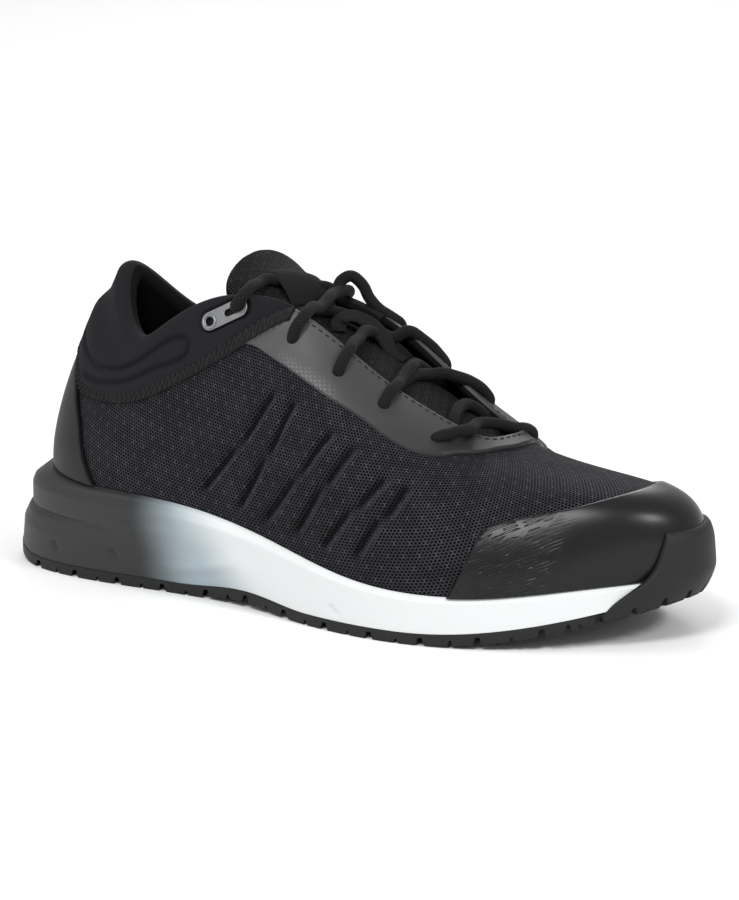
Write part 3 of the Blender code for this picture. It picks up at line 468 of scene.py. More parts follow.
def filmFinish(name, rear, front, roughness, grain, wearAndShade=None, **settings):  # coated film with a fine grain; its colour fades from rear to front, which on the eyestay is painted light: lighter behind, painted shade towards the toe
    finish = Finish(name, **settings)
    x, _, z = finish.place()
    fine = finish.noise(2600.0, 2.0)
    broad = finish.noise(45.0)
    # rear to front fade: on the eyestay a painted highlight behind and painted shade in front; the counter's
    # two colours are the same
    tone = finish.mix(finish.ease(x + broad * 20.0, -20.0, 70.0), rear, front)
    if wearAndShade:
        above = z - wearAndShade["edge"] - x * wearAndShade["slope"] + broad * 2.0
        near = finish.ease(x, *wearAndShade["starts"]) * (1.0 - finish.ease(x, *wearAndShade["ends"]))
        near = near * (1.0 - finish.ease(above, *wearAndShade["reach"]))
        dotted = 1.0 - finish.ease(finish.dots(x / wearAndShade["cell"], z / wearAndShade["cell"]), *wearAndShade["knot"])
        tone = finish.mix(near * (0.25 + dotted * 0.75), tone, wearAndShade["pale"])
        # painted shade: the front of the eyestay is darkened towards the toe
        tone = finish.mix(finish.ease(x, *wearAndShade["frontShadeStarts"]), tone, wearAndShade["front"])
    finish.feed("colour", finish.mix(broad * 0.25, tone, (0.0, 0.0, 0.0)))
    finish.feed("roughness", roughness - 0.06 + broad * 0.12)
    finish.bump(fine, grain)
    return finish.material


# brushed strokes at the outer rear of the toe film: where they start and end, in millimetres, and their gap
brushed = {"starts": (60.0, 78.0), "ends": (94.0, 118.0), "inner": (-40.0, -20.0), "gap": 1.3, "sway": 1.6,
           "stroke": (0.25, 0.85), "patch": (0.42, 0.56), "depth": 0.30, "grain": 0.10}


def toeFilmFinish():  # satin film, with a brushed relief of slanted strokes at the outer rear
    finish = Finish("toeFilm", specular=0.32)
    x, y, z = finish.place()
    broad = finish.noise(60.0)
    slanted = {0: x * 0.15 + z * 0.07, 1: z * 0.36 - x * 0.18, 2: y * 0.15}
    slanted = finish.node("ShaderNodeCombineXYZ", None, slanted)
    patches = finish.node("ShaderNodeTexNoise", None, {"Vector": slanted, "Scale": 1.0, "Detail": 1.0})
    strokes = finish.wave((z * 0.9 - x * 0.44) / brushed["gap"] + finish.noise(90.0, 1.0) * brushed["sway"])
    near = finish.ease(x, *brushed["starts"]) * (1.0 - finish.ease(x, *brushed["ends"]))
    near = near * (1.0 - finish.ease(y, *brushed["inner"]))
    lines = finish.ease(strokes, *brushed["stroke"]) * finish.ease(patches, *brushed["patch"]) * near
    fine = finish.noise(2200.0, 2.0)
    finish.feed("colour", finish.mix(broad, (0.0035, 0.0035, 0.004), (0.006, 0.006, 0.0065)))
    finish.feed("roughness", 0.27 + broad * 0.08)
    finish.bump(lines + fine * brushed["grain"], brushed["depth"])
    return finish.material


def knitFinish(name, colour, pitch, depth, **settings):  # close smooth knit
    finish = Finish(name, **settings)
    x, y, z = finish.place()
    weave = finish.wave((x + y * 0.3) / pitch) * finish.wave((z - y * 0.4) / pitch)
    broad = finish.noise(70.0)
    dark, pale = (tuple(c * share for c in colour) for share in (0.8, 1.15))
    finish.feed("colour", finish.mix(broad, dark, pale))
    finish.feed("roughness", 0.78 + broad * 0.1)
    finish.bump(weave, depth, 0.7)
    return finish.material


def laceFinish():  # round braid, on the lace's own along and around map
    finish = Finish("laceBraid", sheen=0.03, sheenRoughness=0.5, specular=0.12)
    along, turn, _ = finish.place("UV")
    pitch, strands = 1.2, 8.0
    left = finish.wave(along / pitch + turn * strands)
    right = finish.wave(along / pitch - turn * strands)
    strand = left.maths("MAXIMUM", left, right)
    # painted light: the strand crowns are lighter as a painted highlight and the gaps between strands darker
    # as painted shade
    high = finish.ease(strand, 0.5, 0.95)
    finish.feed("colour", finish.mix(high, (0.005, 0.005, 0.0055), (0.0115, 0.0115, 0.0125)))
    finish.feed("roughness", 0.9 - strand * 0.12)
    finish.bump(strand, 0.14)
    return finish.material


foam = {  # fade from the heel forward: where each change starts and ends, and the three colours
    "toBlue": (77.0, 109.0), "toWhite": (116.0, 146.0), "lean": 0.6, "drift": 5.0,
    "heel": (0.0185, 0.0190, 0.0195), "blue": (0.34, 0.41, 0.45), "white": (0.70, 0.72, 0.72),
}


def foamFinish():  # white foam that fades through blue grey to dark grey at the heel
    finish = Finish("midsoleFoam", specular=0.4)
    x, _, z = finish.place()
    drift = finish.noise(45.0) * foam["drift"] - foam["drift"] / 2
    fromHeel = x + last["middle"][0] + drift
    body = finish.mix(finish.ease(fromHeel, *foam["toBlue"]), foam["heel"], foam["blue"])
    body = finish.mix(finish.ease(fromHeel + z * foam["lean"], *foam["toWhite"]), body, foam["white"])
    speck = finish.noise(900.0, 2.0)
    finish.feed("colour", body)
    finish.feed("roughness", 0.46 + speck * 0.1)
    finish.bump(speck, 0.06)
    return finish.material


def rubberFinish():  # matt, with a fine grain
    finish = Finish("treadRubber", specular=0.3)
    fine = finish.noise(1500.0, 3.0)
    finish.feed("colour", finish.mix(finish.noise(40.0), (0.0095, 0.0095, 0.0100), (0.0135, 0.0135, 0.0140)))
    finish.feed("roughness", 0.5 + fine * 0.16)
    finish.bump(fine, 0.10)
    return finish.material


def metalFinish():  # brushed along the plates
    finish = Finish("plateMetal", metallic=1.0)
    x, _, z = finish.place()
    brush = finish.wave((z * 0.8 + x * 0.2) / 0.22 + finish.noise(500.0) * 2.0)
    finish.feed("colour", finish.mix(finish.noise(300.0), (0.22, 0.225, 0.23), (0.34, 0.345, 0.35)))
    finish.feed("roughness", 0.30 + brush * 0.1)
    finish.bump(brush, 0.02)
    return finish.material


counterGrey = (0.0115, 0.0115, 0.012)
finishes = {
    "mesh": meshFinish("meshKnit", 1.35, (0.0225, 0.0225, 0.0270), (0.0006, 0.0006, 0.0008)),
    "tongueMesh": meshFinish("tongueKnit", 1.15, (0.0155, 0.0155, 0.0165), (0.0012, 0.0012, 0.0015)),
    "lining": knitFinish("liningKnit", (0.003, 0.003, 0.0035), 0.8, 0.25, specular=0.1),
    "collar": knitFinish("collarKnit", (0.0095, 0.0092, 0.0118), 0.85, 0.22, specular=0.18),
    # the eyestay's lighter rear and darker front colours are painted light and shade
    "eyestay": filmFinish("eyestayFilm", (0.072, 0.072, 0.074), (0.030, 0.030, 0.032), 0.46, 0.05, eyestayWearAndShade,
                          specular=0.35),
    "counter": filmFinish("counterFilm", counterGrey, counterGrey, 0.50, 0.06, specular=0.22),
    "toeCap": toeFilmFinish(),
    "thread": knitFinish("seamThread", (0.014, 0.014, 0.0155), 0.4, 0.1, specular=0.25),
    "seamTape": knitFinish("seamTape", (0.006, 0.006, 0.0065), 0.6, 0.1),
    "webbing": knitFinish("bandWeave", (0.008, 0.008, 0.009), 0.8, 0.25, specular=0.2),
    "lace": laceFinish(),
    "foam": foamFinish(),
    "rubber": rubberFinish(),
    "metal": metalFinish(),
    "insole": knitFinish("insoleKnit", (0.020, 0.020, 0.022), 0.9, 0.25),
}
print("finishes ready:", len(finishes))

# Upper: mesh outside, lining inside, six slanted ribs on each side
upper = {
    "columns": 520,
    "rows": 92,
    "liningRows": 24,
    # topPlace, topRise, lowPlace, lowRise
    "ribs": (
        (0.256, 0.65, 0.196, 0.08),
        (0.272, 0.65, 0.223, 0.05),
        (0.302, 0.59, 0.241, 0.04),
        (0.317, 0.57, 0.266, 0.06),
        (0.338, 0.49, 0.285, 0.05),
        (0.352, 0.49, 0.309, 0.07),
    ),
    "ridge": 1.1,
    "ridgeWidth": 1.5,
    "groove": 2.0,
    "grooveWidth": 1.9,
    "grooveBack": 0.0046,
    "kink": 0.0028,
    "patternRows": 24,
    "patternColumns": 131,
}


def ribLines(shift):  # each rib as points on the skin, with a small sideways step half way
    t = np.linspace(0, 1, 70)
    step = 1 / (1 + np.exp(-(t - 0.5) * 40))
    strength = np.clip(np.sin(np.pi * np.clip(t, 0.02, 0.98)) * 3, 0, 1)  # fades out at both ends
    strength = strength * (1 - 0.5 * np.exp(-((t - 0.5) / 0.06) ** 2))
    lines = []
    for topPlace, topRise, lowPlace, lowRise in upper["ribs"]:
        place = topPlace + (lowPlace - topPlace) * t - upper["kink"] * step - shift
        rise = topRise + (lowRise - topRise) * t
        for side in (place, facing(place)):
            lines.append(np.column_stack([upperAt(side, rise), strength]))
    return lines


def spread(flat, at, count):  # reads a coarse map at every row, and turns rows into columns
    full = np.arange(count)
    return np.stack([[np.interp(full, at, line) for line in flat[..., axis].T] for axis in (0, 1)], -1)


def unwrapped(coarse):  # a grid laid flat, at no set size
    rows, cols = coarse.shape[:2]
    mesh = bpy.data.meshes.new("pattern")
    mesh.from_pydata(coarse.reshape(-1, 3).tolist(), [], gridFaces(rows, cols).tolist())
    pattern = bpy.data.objects.new("pattern", mesh)
    bpy.context.scene.collection.objects.link(pattern)
    bpy.context.view_layer.objects.active = pattern
    bpy.ops.object.mode_set(mode="EDIT")
    bpy.ops.mesh.select_all(action="SELECT")
    bpy.ops.uv.unwrap(method="MINIMUM_STRETCH", margin=0.0)
    bpy.ops.object.mode_set(mode="OBJECT")
    place = np.zeros(2 * len(mesh.loops), np.float32)
    mesh.uv_layers.active.data.foreach_get("uv", place)
    flat = np.zeros((rows * cols, 2))
    flat[cornerPoints(mesh)] = place.reshape(-1, 2)
    bpy.data.objects.remove(pattern)
    bpy.data.meshes.remove(mesh)
    return flat.reshape(rows, cols, 2)


def clothMap(grid):  # flat pattern of the cloth in millimetres, cut open behind the heel
    rows, cols = grid.shape[:2]
    rowAt = np.round(np.linspace(0, rows - 1, upper["patternRows"])).astype(int)
    colAt = np.round(np.linspace(0, cols, upper["patternColumns"])).astype(int)
    coarse = grid[rowAt][:, colAt % cols]
    flat = unwrapped(coarse)

    # scaled to the cloth's own area and turned level at the middle of the outer side
    aside, down = np.diff(flat, axis=1)[:-1], np.diff(flat, axis=0)[:, :-1]
    flatArea = np.abs(aside[..., 0] * down[..., 1] - aside[..., 1] * down[..., 0]).sum()
    cells = np.cross(np.diff(coarse, axis=1)[:-1], np.diff(coarse, axis=0)[:, :-1])
    area = np.linalg.norm(cells, axis=2).sum()
    quarter, near = len(colAt) // 4, 4
    run = unit((flat[:, quarter + near] - flat[:, quarter - near]).mean(0))
    flat = flat @ np.array([[run[0], -run[1]], [run[1], run[0]]]) * np.sqrt(area / flatArea)
    return spread(spread(flat, rowAt, rows), colAt, cols)


def makeUpper():
    count = upper["columns"]
    outerCount = int(count * toe)
    around = np.concatenate([np.linspace(0, toe, outerCount, endpoint=False),
                             np.linspace(toe, 1, count - outerCount, endpoint=False)])
    rise = np.linspace(0, 1, upper["rows"])[:, None]
    plain = upperAt(around, rise)
    high = lineRelief(plain, ribLines(0.0), upper["ridgeWidth"])
    low = lineRelief(plain, ribLines(upper["grooveBack"]), upper["grooveWidth"])
    outside = skin(around, rise, upper["ridge"] * high - upper["groove"] * low)
    inside = skin(around, np.linspace(1, 0, upper["liningRows"])[:, None], -last["wall"])
    rows = np.concatenate([outside, inside])
    faces = loopFaces(len(rows), count, ring=True)
    slots = np.zeros(len(faces))
    slots[(upper["rows"] - 1) * count:] = 1
    uv = np.concatenate([clothMap(plain).reshape(-1, 2), np.zeros((upper["liningRows"] * count, 2))])
    piece = addPiece("upper_mesh", rows.reshape(-1, 3), faces.tolist(),
                     [finishes["mesh"], finishes["lining"]], slots, uv)
    # rib relief, which the knit finish reads to paint a highlight on the ridges and shade in the grooves
    relief = np.concatenate([high - low, np.zeros(inside.shape[:2])])
    piece.data.attributes.new("relief", "FLOAT", "POINT").data.foreach_set("value", relief.ravel())
    settle(piece, "upper_mesh", "upper")


makeUpper()
print("upper made")


# Films over the upper: each lies on the skin with a rounded edge
def filmPanel(name, places, lowEdge, highEdge, film, finish):
    rise = lowEdge + (highEdge - lowEdge) * np.linspace(0, 1, film["rows"])[:, None]
    behind = skin(places, rise, film["lift"])
    gaps = edgeGap(behind)
    gap = np.minimum.reduce([gaps[i] for i in film["roundSides"]])
    edgeShare = 0.12  # of the thickness, left at the edge
    front = skin(places, rise, film["lift"] + film["thick"] * roundedEdge(gap, film["edgeRound"], edgeShare))
    return addShell(name, front, behind, finish)


def lowFilm(name, places, film, finish):  # panel from the sole up to the film's edge
    least = 0.006
    high = np.maximum(byPlace(places, film["edge"]), least)
    return filmPanel(name, places, np.zeros_like(high), high, film, finish), high


def bothSides(first, end, count):  # places from an outer one round the toe to the inner one that faces it
    outer = np.linspace(first, end, count)
    return np.concatenate([outer, facing(outer[-2::-1])])


toeCap = {
    # place, rise of the rear edge
    "edge": ((0.360, 0.0), (0.372, 0.16), (0.388, 0.33), (0.414, 0.44), (0.440, 0.48), (0.469, 0.49),
             (0.488, 0.50), (0.506, 0.51)),
    "columns": 150, "rows": 60, "lift": 0.1, "thick": 1.5, "edgeRound": 1.6, "roundSides": (1,),
}


def makeToeCap():
    places = bothSides(toeCap["edge"][0][0], toe, toeCap["columns"])
    piece, _ = lowFilm("toe_cap_film", places, toeCap, finishes["toeCap"])
    settle(piece, "toe_cap_film", "toe_cap")


makeToeCap()

counter = {
    "edge": ((0.0, 0.56), (0.020, 0.555), (0.051, 0.48), (0.082, 0.32), (0.109, 0.0)),
    "columns": 70, "rows": 50, "lift": 0.1, "thick": 1.3, "edgeRound": 1.4, "roundSides": (1,),
    "seam": 0.75, "seamLift": 0.6, "seamAbove": 0.004, "seamSpacing": 1.2,
}


def makeCounter():
    outer = np.linspace(counter["edge"][-1][0], 0.0, counter["columns"])
    places = np.concatenate([facing(outer), outer[-2::-1] + 1.0])
    piece, high = lowFilm("heel_counter_film", places, counter, finishes["counter"])
    settle(piece, "counter_film", "heel_counter")
    # a stitched seam along the counter's front edge; its near-black lining finish is also a painted shadow of
    # the film's edge
    line = smoothRoute(skin(places, high + counter["seamAbove"], counter["seamLift"]), counter["seamSpacing"])
    seam = addPiece("counter_seam_and_shadow", *joinTubes([line], counter["seam"], 8)[:2], [finishes["lining"]])
    settle(seam, "counter_film")


makeCounter()
print("toe cap and counter made")

eyestay = {
    # place, rise of the low edge
    "edge": ((0.2205, 0.80), (0.228, 0.80), (0.245, 0.76), (0.288, 0.71), (0.312, 0.70), (0.338, 0.66),
             (0.352, 0.66), (0.372, 0.70), (0.403, 0.82), (0.454, 0.93), (0.506, 0.95)),
    # place, rise of the holes, toe to ankle
    "holes": ((0.376, 0.81), (0.328, 0.83), (0.292, 0.85), (0.258, 0.87)),
    "holeRadius": 2.3, "holeDepth": 8.0,
    "columns": 190, "rows": 34, "lift": 0.1, "thick": 1.4, "edgeRound": 1.2, "roundSides": (0, 1),
    "underCollar": 0.005, "leastRise": 0.006,
    "stitchFrom": 0.256, "stitchIn": 2.4, "stitch": 2.1, "stitchStep": 3.2, "stitchRadius": 0.32,
    "stitchSpacing": 0.4, "stitchSunk": 0.05,
}
collar = {
    # place, rise of the lower edge
    "edge": ((0.0, 0.60), (0.020, 0.59), (0.047, 0.55), (0.089, 0.61), (0.159, 0.69), (0.197, 0.75),
             (0.227, 0.83), (0.238, 0.88), (0.253, 0.97)),
    # place, padding inside
    "pad": ((0.0, 4.5), (0.150, 4.0), (0.205, 1.6), (0.253, 0.9)),
    "columns": 460, "outerRows": 66, "rollRows": 16, "innerRows": 30, "backRows": 6,
    "panel": 2.4, "puffRound": 7.0, "puffEdge": 0.25, "wallHeight": 90, "padGap": 0.6, "backGap": 0.05,
    # rise from which the lean of the opening edge is read, gap over that edge
    "leanFrom": 0.96, "overEdge": 0.3,
    # the panel thins where it is lower than this share of the wall, to its least share
    "thins": (0.2, 0.25),
    # inner pad: share of the wall that it covers, rise added at its low end, where it closes on the wall
    "depth": 0.30, "above": 0.02, "closes": 0.75, "closeGap": 0.2,
    # place, height of the roll over the edge
    "roll": ((0.0, 3.8), (0.190, 3.8), (0.205, 2.6), (0.220, 1.0), (0.253, 0.9)),
    # place, rise of the sewn channel: down behind the heel, forward under the ankle, round its end and back
    "channel": ((0.010, 0.92), (0.012, 0.80), (0.018, 0.71), (0.031, 0.68), (0.055, 0.72), (0.069, 0.77),
                (0.110, 0.90), (0.150, 0.935), (0.174, 0.915), (0.183, 0.86), (0.175, 0.80), (0.135, 0.805),
                (0.092, 0.735), (0.068, 0.665), (0.050, 0.615)),
    "groove": 1.6, "grooveWidth": 1.1,
    # share of the panel's height, swell of the pad behind the heel, which fades out over heelReach
    "heel": ((0.0, 0.0), (0.25, 0.4), (0.45, 0.9), (0.72, -1.2), (0.90, -0.6), (1.0, 0.0)),
    "heelReach": 0.06,
    # overlock: zigzag on a tape, its half width at the heel and the throat, raised where it lies on the film
    "seamPitch": 1.35, "seamWidth": (1.7, 2.8), "seamRadius": 0.44, "seamUneven": (0.22, 0.3),
    "seamSway": 0.88, "seamLift": 1.8, "seamStep": (0.212, 0.010),
    "tapeRows": 7, "tapeLow": 0.1, "tapeEdge": 0.5, "tapeCrown": 1.1, "tapeRound": 0.6, "seamSpacing": 0.45,
}


def collarRise(u):  # rise of the collar's lower edge
    return byPlace(u, collar["edge"])


def punchHoles(piece):  # lace holes through the film
    cutters = []
    for outer, rise in eyestay["holes"]:
        for u in (outer, float(facing(outer))):
            bpy.ops.mesh.primitive_cylinder_add(vertices=20, radius=eyestay["holeRadius"] * mm,
                                                depth=eyestay["holeDepth"] * mm)
            cutter = bpy.context.active_object
            turn = Vector((0, 0, 1)).rotation_difference(Vector(upperNormal(u, rise))).to_matrix().to_4x4()
            cutter.data.transform(Matrix.Translation(Vector(toWorld(skin(u, rise, 0.5)))) @ turn)
            cutters.append(cutter)
    bpy.ops.object.select_all(action="DESELECT")
    for cutter in cutters:
        cutter.select_set(True)
    bpy.context.view_layer.objects.active = cutters[0]
    bpy.ops.object.join()
    punch = piece.modifiers.new("punch", "BOOLEAN")
    punch.operation = "DIFFERENCE"
    punch.solver = "EXACT"
    punch.object = cutters[0]
    bpy.context.view_layer.objects.active = piece
    bpy.ops.object.modifier_apply(modifier="punch")
    bpy.data.objects.remove(cutters[0])
    piece.data.set_sharp_from_angle(angle=np.radians(50))


def makeEyestay():
    places = bothSides(eyestay["edge"][0][0], toe, eyestay["columns"])
    outer = outerOf(places)
    high = np.where(outer < collar["edge"][-1][0], collarRise(places) - eyestay["underCollar"], 1.0)
    low = np.minimum(byPlace(places, eyestay["edge"]), high - eyestay["leastRise"])
    piece = filmPanel("eyestay_film", places, low, high, eyestay, finishes["eyestay"])
    punchHoles(piece)
    settle(piece, "eyestay_film", "eyestay")

    # stitches along the throat, stitchIn from its edge
    throat = places[outer > eyestay["stitchFrom"]]
    step = 0.1
    wallRun = np.linalg.norm(upperAt(throat, 1 - step) - upperAt(throat, 1.0), axis=1)
    lift = eyestay["lift"] + eyestay["thick"] - eyestay["stitchSunk"]
    spacing = eyestay["stitchSpacing"]
    line = smoothRoute(skin(throat, 1 - step * eyestay["stitchIn"] / wallRun, lift), spacing)
    perStitch, perStep = int(eyestay["stitch"] / spacing), int(eyestay["stitchStep"] / spacing)
    runs = [line[k:k + perStitch] for k in range(0, len(line) - perStitch, perStep)]
    points, faces, _ = joinTubes(runs, eyestay["stitchRadius"], 6)
    settle(addPiece("throat_stitches", points, faces, [finishes["thread"]]), "eyestay_film")


makeEyestay()
print("eyestay made")

plate = {
    "from": (0.2003, 0.9211), "to": (0.2207, 0.9512), "length": 21.0, "width": 6.8, "thick": 1.0, "lift": 2.0,
    "bevel": 0.2, "hole": 2.0, "slotRadius": 1.6, "slotFrom": 1.5, "slotPast": 0.5, "rivet": (2.6, 0.55),
    "recess": 1.3, "recessEdge": (4.0, 5.0),
}
plateReach = (plate["length"] - plate["width"]) / 2  # from the middle to the middle of a round end


def plateFrame(inner):  # middle of a plate, the way it lies and the way it faces
    u0, u1 = (float(facing(p[0])) if inner else p[0] for p in (plate["from"], plate["to"]))
    rise0, rise1 = plate["from"][1], plate["to"][1]
    along = skin(u1, rise1, plate["lift"]) - skin(u0, rise0, plate["lift"])
    at = ((u0 + u1) / 2, (rise0 + rise1) / 2)
    return skin(*at, plate["lift"]), unit(along), upperNormal(*at)


def plateRecess(points):  # 1 under the plates, falling to 0 just round them
    low, high = plate["recessEdge"]
    share = np.zeros(points.shape[:-1])
    for inner in (False, True):
        middle, along, _ = plateFrame(inner)
        foot = np.clip((points - middle) @ along, -plateReach, plateReach)
        gap = np.linalg.norm(points - middle - foot[..., None] * along, axis=-1)
        share = np.maximum(share, np.clip((high - gap) / (high - low), 0, 1))
    return share * share * (3 - 2 * share)


# Collar: padded panel outside with a sewn channel, a roll over the edge and a pad inside
def collarOutside(places, low, panel):
    t = np.linspace(0, 1, collar["outerRows"])[:, None]
    rise = low + (1 - low) * t
    puff = roundedEdge(t * (1 - low) * collar["wallHeight"], collar["puffRound"], collar["puffEdge"])
    heel = smoothLine(t[:, 0], collar["heel"]) * np.exp(-(outerOf(places) / collar["heelReach"]) ** 2)
    plain = skin(places, rise, panel * puff + heel)
    channel = np.column_stack([np.linspace(0, 1, len(collar["channel"])), collar["channel"]])
    u, level = smoothLine(np.linspace(0, 1, 400), channel).T
    full = np.ones(len(u))
    lines = [np.column_stack([skin(side, level, collar["panel"]), full]) for side in (u, facing(u))]
    sunk = collar["groove"] * lineRelief(plain, lines, collar["grooveWidth"])
    sunk += plate["recess"] * plateRecess(plain)
    return plain - upperNormal(places, rise) * sunk[..., None]


def collarRoll(places, panel, pad, edge, lean):  # half round over the edge, from the panel to the inner pad
    turn = np.linspace(0, np.pi, collar["rollRows"] + 2)[1:-1, None]
    away = (panel + pad) / 2 + (panel - pad) / 2 * np.cos(turn)
    height = byPlace(places, collar["roll"]) * np.sin(turn)
    return edge + upperNormal(places, 1.0) * away[..., None] + lean * height[..., None]


def collarInside(places, deep, pad):  # pad that closes on the wall at its low end
    t = np.linspace(0, 1, collar["innerRows"])[:, None]
    closing = np.clip((t - collar["closes"]) / (1 - collar["closes"]), 0, 1) ** 2
    close = pad + (-last["wall"] - collar["closeGap"] - pad) * closing
    return skin(places, 1 + (deep - 1) * t, close)


def makeCollar():
    reach, half = collar["edge"][-1][0], collar["columns"] // 2
    places = np.concatenate([facing(np.linspace(reach, 0, half, endpoint=False)),
                             np.linspace(0, reach, half) + 1.0])
    low = collarRise(places)
    deep = np.minimum(low, 1 - collar["depth"]) + collar["above"]
    thinAt, thinnest = collar["thins"]
    panel = collar["panel"] * np.clip((1 - low) / thinAt, thinnest, 1)
    pad = -last["wall"] - collar["padGap"] - byPlace(places, collar["pad"])
    edge = upperAt(places, 1.0)
    lean = unit(edge - upperAt(places, collar["leanFrom"]))
    t = np.linspace(0, 1, collar["backRows"])[:, None]
    back = skin(places, deep + (1 - deep) * t, -last["wall"] - collar["backGap"])
    over = (edge + lean * collar["overEdge"])[None]
    front = skin(places, 1 + (low - 1) * t, collar["backGap"])
    loop = np.concatenate([collarOutside(places, low, panel), collarRoll(places, panel, pad, edge, lean),
                           collarInside(places, deep, pad), back, over, front])
    rows, cols = loop.shape[:2]
    faces = loopFaces(rows, cols)
    ends = [np.arange(rows) * cols, (np.arange(rows) * cols + cols - 1)[::-1]]
    slots = np.zeros(len(faces) + len(ends))
    slots[(collar["outerRows"] + collar["rollRows"] // 2) * (cols - 1):] = 1
    piece = addPiece("collar_pad", loop.reshape(-1, 3), faces.tolist() + [end.tolist() for end in ends],
                     [finishes["collar"], finishes["lining"]], slots)
    settle(piece, "collar_fabric", "collar")
    makeOverlock(np.unwrap(places * 2 * np.pi) / (2 * np.pi), low)


def makeOverlock(place, low):  # along the collar's lower edge: a tape with uneven zigzag threads over it
    run = runAlong(upperAt(place, low))
    step = 0.02
    wall = np.linalg.norm(upperAt(place, low) - upperAt(place, np.clip(low - step, 0, 1)), axis=1) / step
    narrow, wide = collar["seamWidth"]
    half = (narrow + (wide - narrow) * np.abs(run / run[-1] * 2 - 1) ** 3) / wall
    stepAt, stepRun = collar["seamStep"]
    onFilm = np.clip((outerOf(place) - stepAt) / stepRun, 0, 1) * eyestay["thick"]
    side = np.linspace(-1, 1, collar["tapeRows"])[:, None]
    rise = np.clip(low + half * side, 0, 1)
    domed = roundedEdge(1 - np.abs(side), collar["tapeRound"])
    crown = collar["tapeEdge"] + collar["tapeCrown"] * domed + onFilm
    tape = addShell("collar_seam_tape", skin(place, rise, crown), skin(place, rise, collar["tapeLow"]),
                    finishes["seamTape"])
    settle(tape, "collar_fabric")
    turns = int(run[-1] / collar["seamPitch"])
    uneven = np.random.default_rng(4).uniform(-1, 1, (2, turns))
    reach, drift = uneven * np.array(collar["seamUneven"])[:, None]
    at = np.linspace(0, run[-1], turns) + drift
    sway = np.where(np.arange(turns) % 2, collar["seamSway"], -collar["seamSway"]) + reach
    place, low, half, onFilm = (np.interp(at, run, line) for line in (place, low, half, onFilm))
    zigzag = skin(place, np.clip(low + sway * half, 0, 1), collar["seamLift"] + onFilm)
    points, faces, _ = joinTubes([smoothRoute(zigzag, collar["seamSpacing"])], collar["seamRadius"], 6)
    settle(addPiece("collar_overlock", points, faces, [finishes["thread"]]), "collar_fabric")


makeCollar()
print("collar made")

tongue = {
    # fromHeel, middle, height, halfWidth, thick
    "rows": ((222.0, 6.0, 61.0, 12.0, 3.0), (203.0, 5.5, 71.0, 16.0, 5.0), (190.0, 5.0, 78.5, 19.0, 6.0),
             (175.0, 4.0, 87.0, 21.5, 6.0), (160.0, 3.5, 95.5, 22.5, 6.5), (145.0, 2.5, 103.5, 21.5, 7.0),
             (130.0, 1.5, 111.5, 20.5, 7.5), (118.0, 2.2, 121.0, 23.0, 8.5), (109.0, 2.8, 126.8, 26.2, 9.0),
             (104.5, 2.3, 130.6, 25.4, 7.0)),
    # fromHeel, crown
    "crown": ((118.0, 0.0084), (140.0, 0.0118)),
    "steps": 110, "stepPower": 1.35, "sides": 72,
    # rounding of the top seen from the front and from the side, and how near each comes to a point
    "roundTop": 5.0, "roundPower": 3.0, "thinTop": 1.6, "tip": (0.997, 0.96),
    # how square the section is, across and through
    "square": (0.75, 0.55),
    "mapShift": 60,
}


def tongueCrown(x):  # how much the tongue is arched across
    return np.interp(x, *np.array(tongue["crown"]).T)


def tongueTop(x, y):  # height of the tongue's upper face
    rows = np.array(tongue["rows"])[::-1]
    middle = np.interp(x, rows[:, 0], rows[:, 1])
    return np.interp(x, rows[:, 0], rows[:, 2]) - tongueCrown(x) * (y - middle) ** 2


def makeTongue():
    rows = np.array(tongue["rows"])
    reach = runAlong(rows[:, [0, 2]])
    at = reach[-1] * (1 - np.linspace(1, 0, tongue["steps"]) ** tongue["stepPower"])
    line = smoothLine(at, np.column_stack([reach, rows]))
    left = (reach[-1] - at) / tongue["roundTop"]
    power = tongue["roundPower"]
    line[:, 3] *= (1 - np.clip(1 - left, 0, tongue["tip"][0]) ** power) ** (1 / power)
    line[:, 4] *= np.sqrt(1 - np.clip(1 - left * tongue["thinTop"], 0, tongue["tip"][1]) ** 2)
    turn = np.linspace(0, 2 * np.pi, tongue["sides"], endpoint=False)
    across, thick = (np.sign(part) * np.abs(part) ** square
                     for part, square in zip((np.cos(turn), np.sin(turn)), tongue["square"]))
    x, middle, height, half, full = (line[:, k:k + 1] for k in range(5))
    y = middle + half * across
    z = height - tongueCrown(x) * (half * across) ** 2 - full / 2 + full / 2 * thick
    grid = np.stack([np.broadcast_to(x, y.shape), y, z], -1)
    uv = np.stack([np.broadcast_to(at[:, None], y.shape), y + tongue["mapShift"]], -1).reshape(-1, 2)
    piece = addPiece("tongue_pad", grid.reshape(-1, 3), tubeFaces(*grid.shape[:2]), [finishes["tongueMesh"]],
                     uv=uv)
    settle(piece, "tongue_fabric", "tongue")


makeTongue()

band = {  # plain band across the tongue, sewn down in front and behind the lace
    "fromHeel": 123.0, "middle": 4.5, "skew": 0.2, "along": 15.0, "halfWidth": 12.5, "steps": (41, 33),
    "thick": 1.1, "edgeRound": 0.9, "edgeShare": 0.3, "seat": 0.15, "room": 4.074,
}


def arch(share):  # flat at both ends, humped over the lace
    return np.cos(np.pi / 2 * np.clip(share / 0.9, -1, 1)) ** 0.8


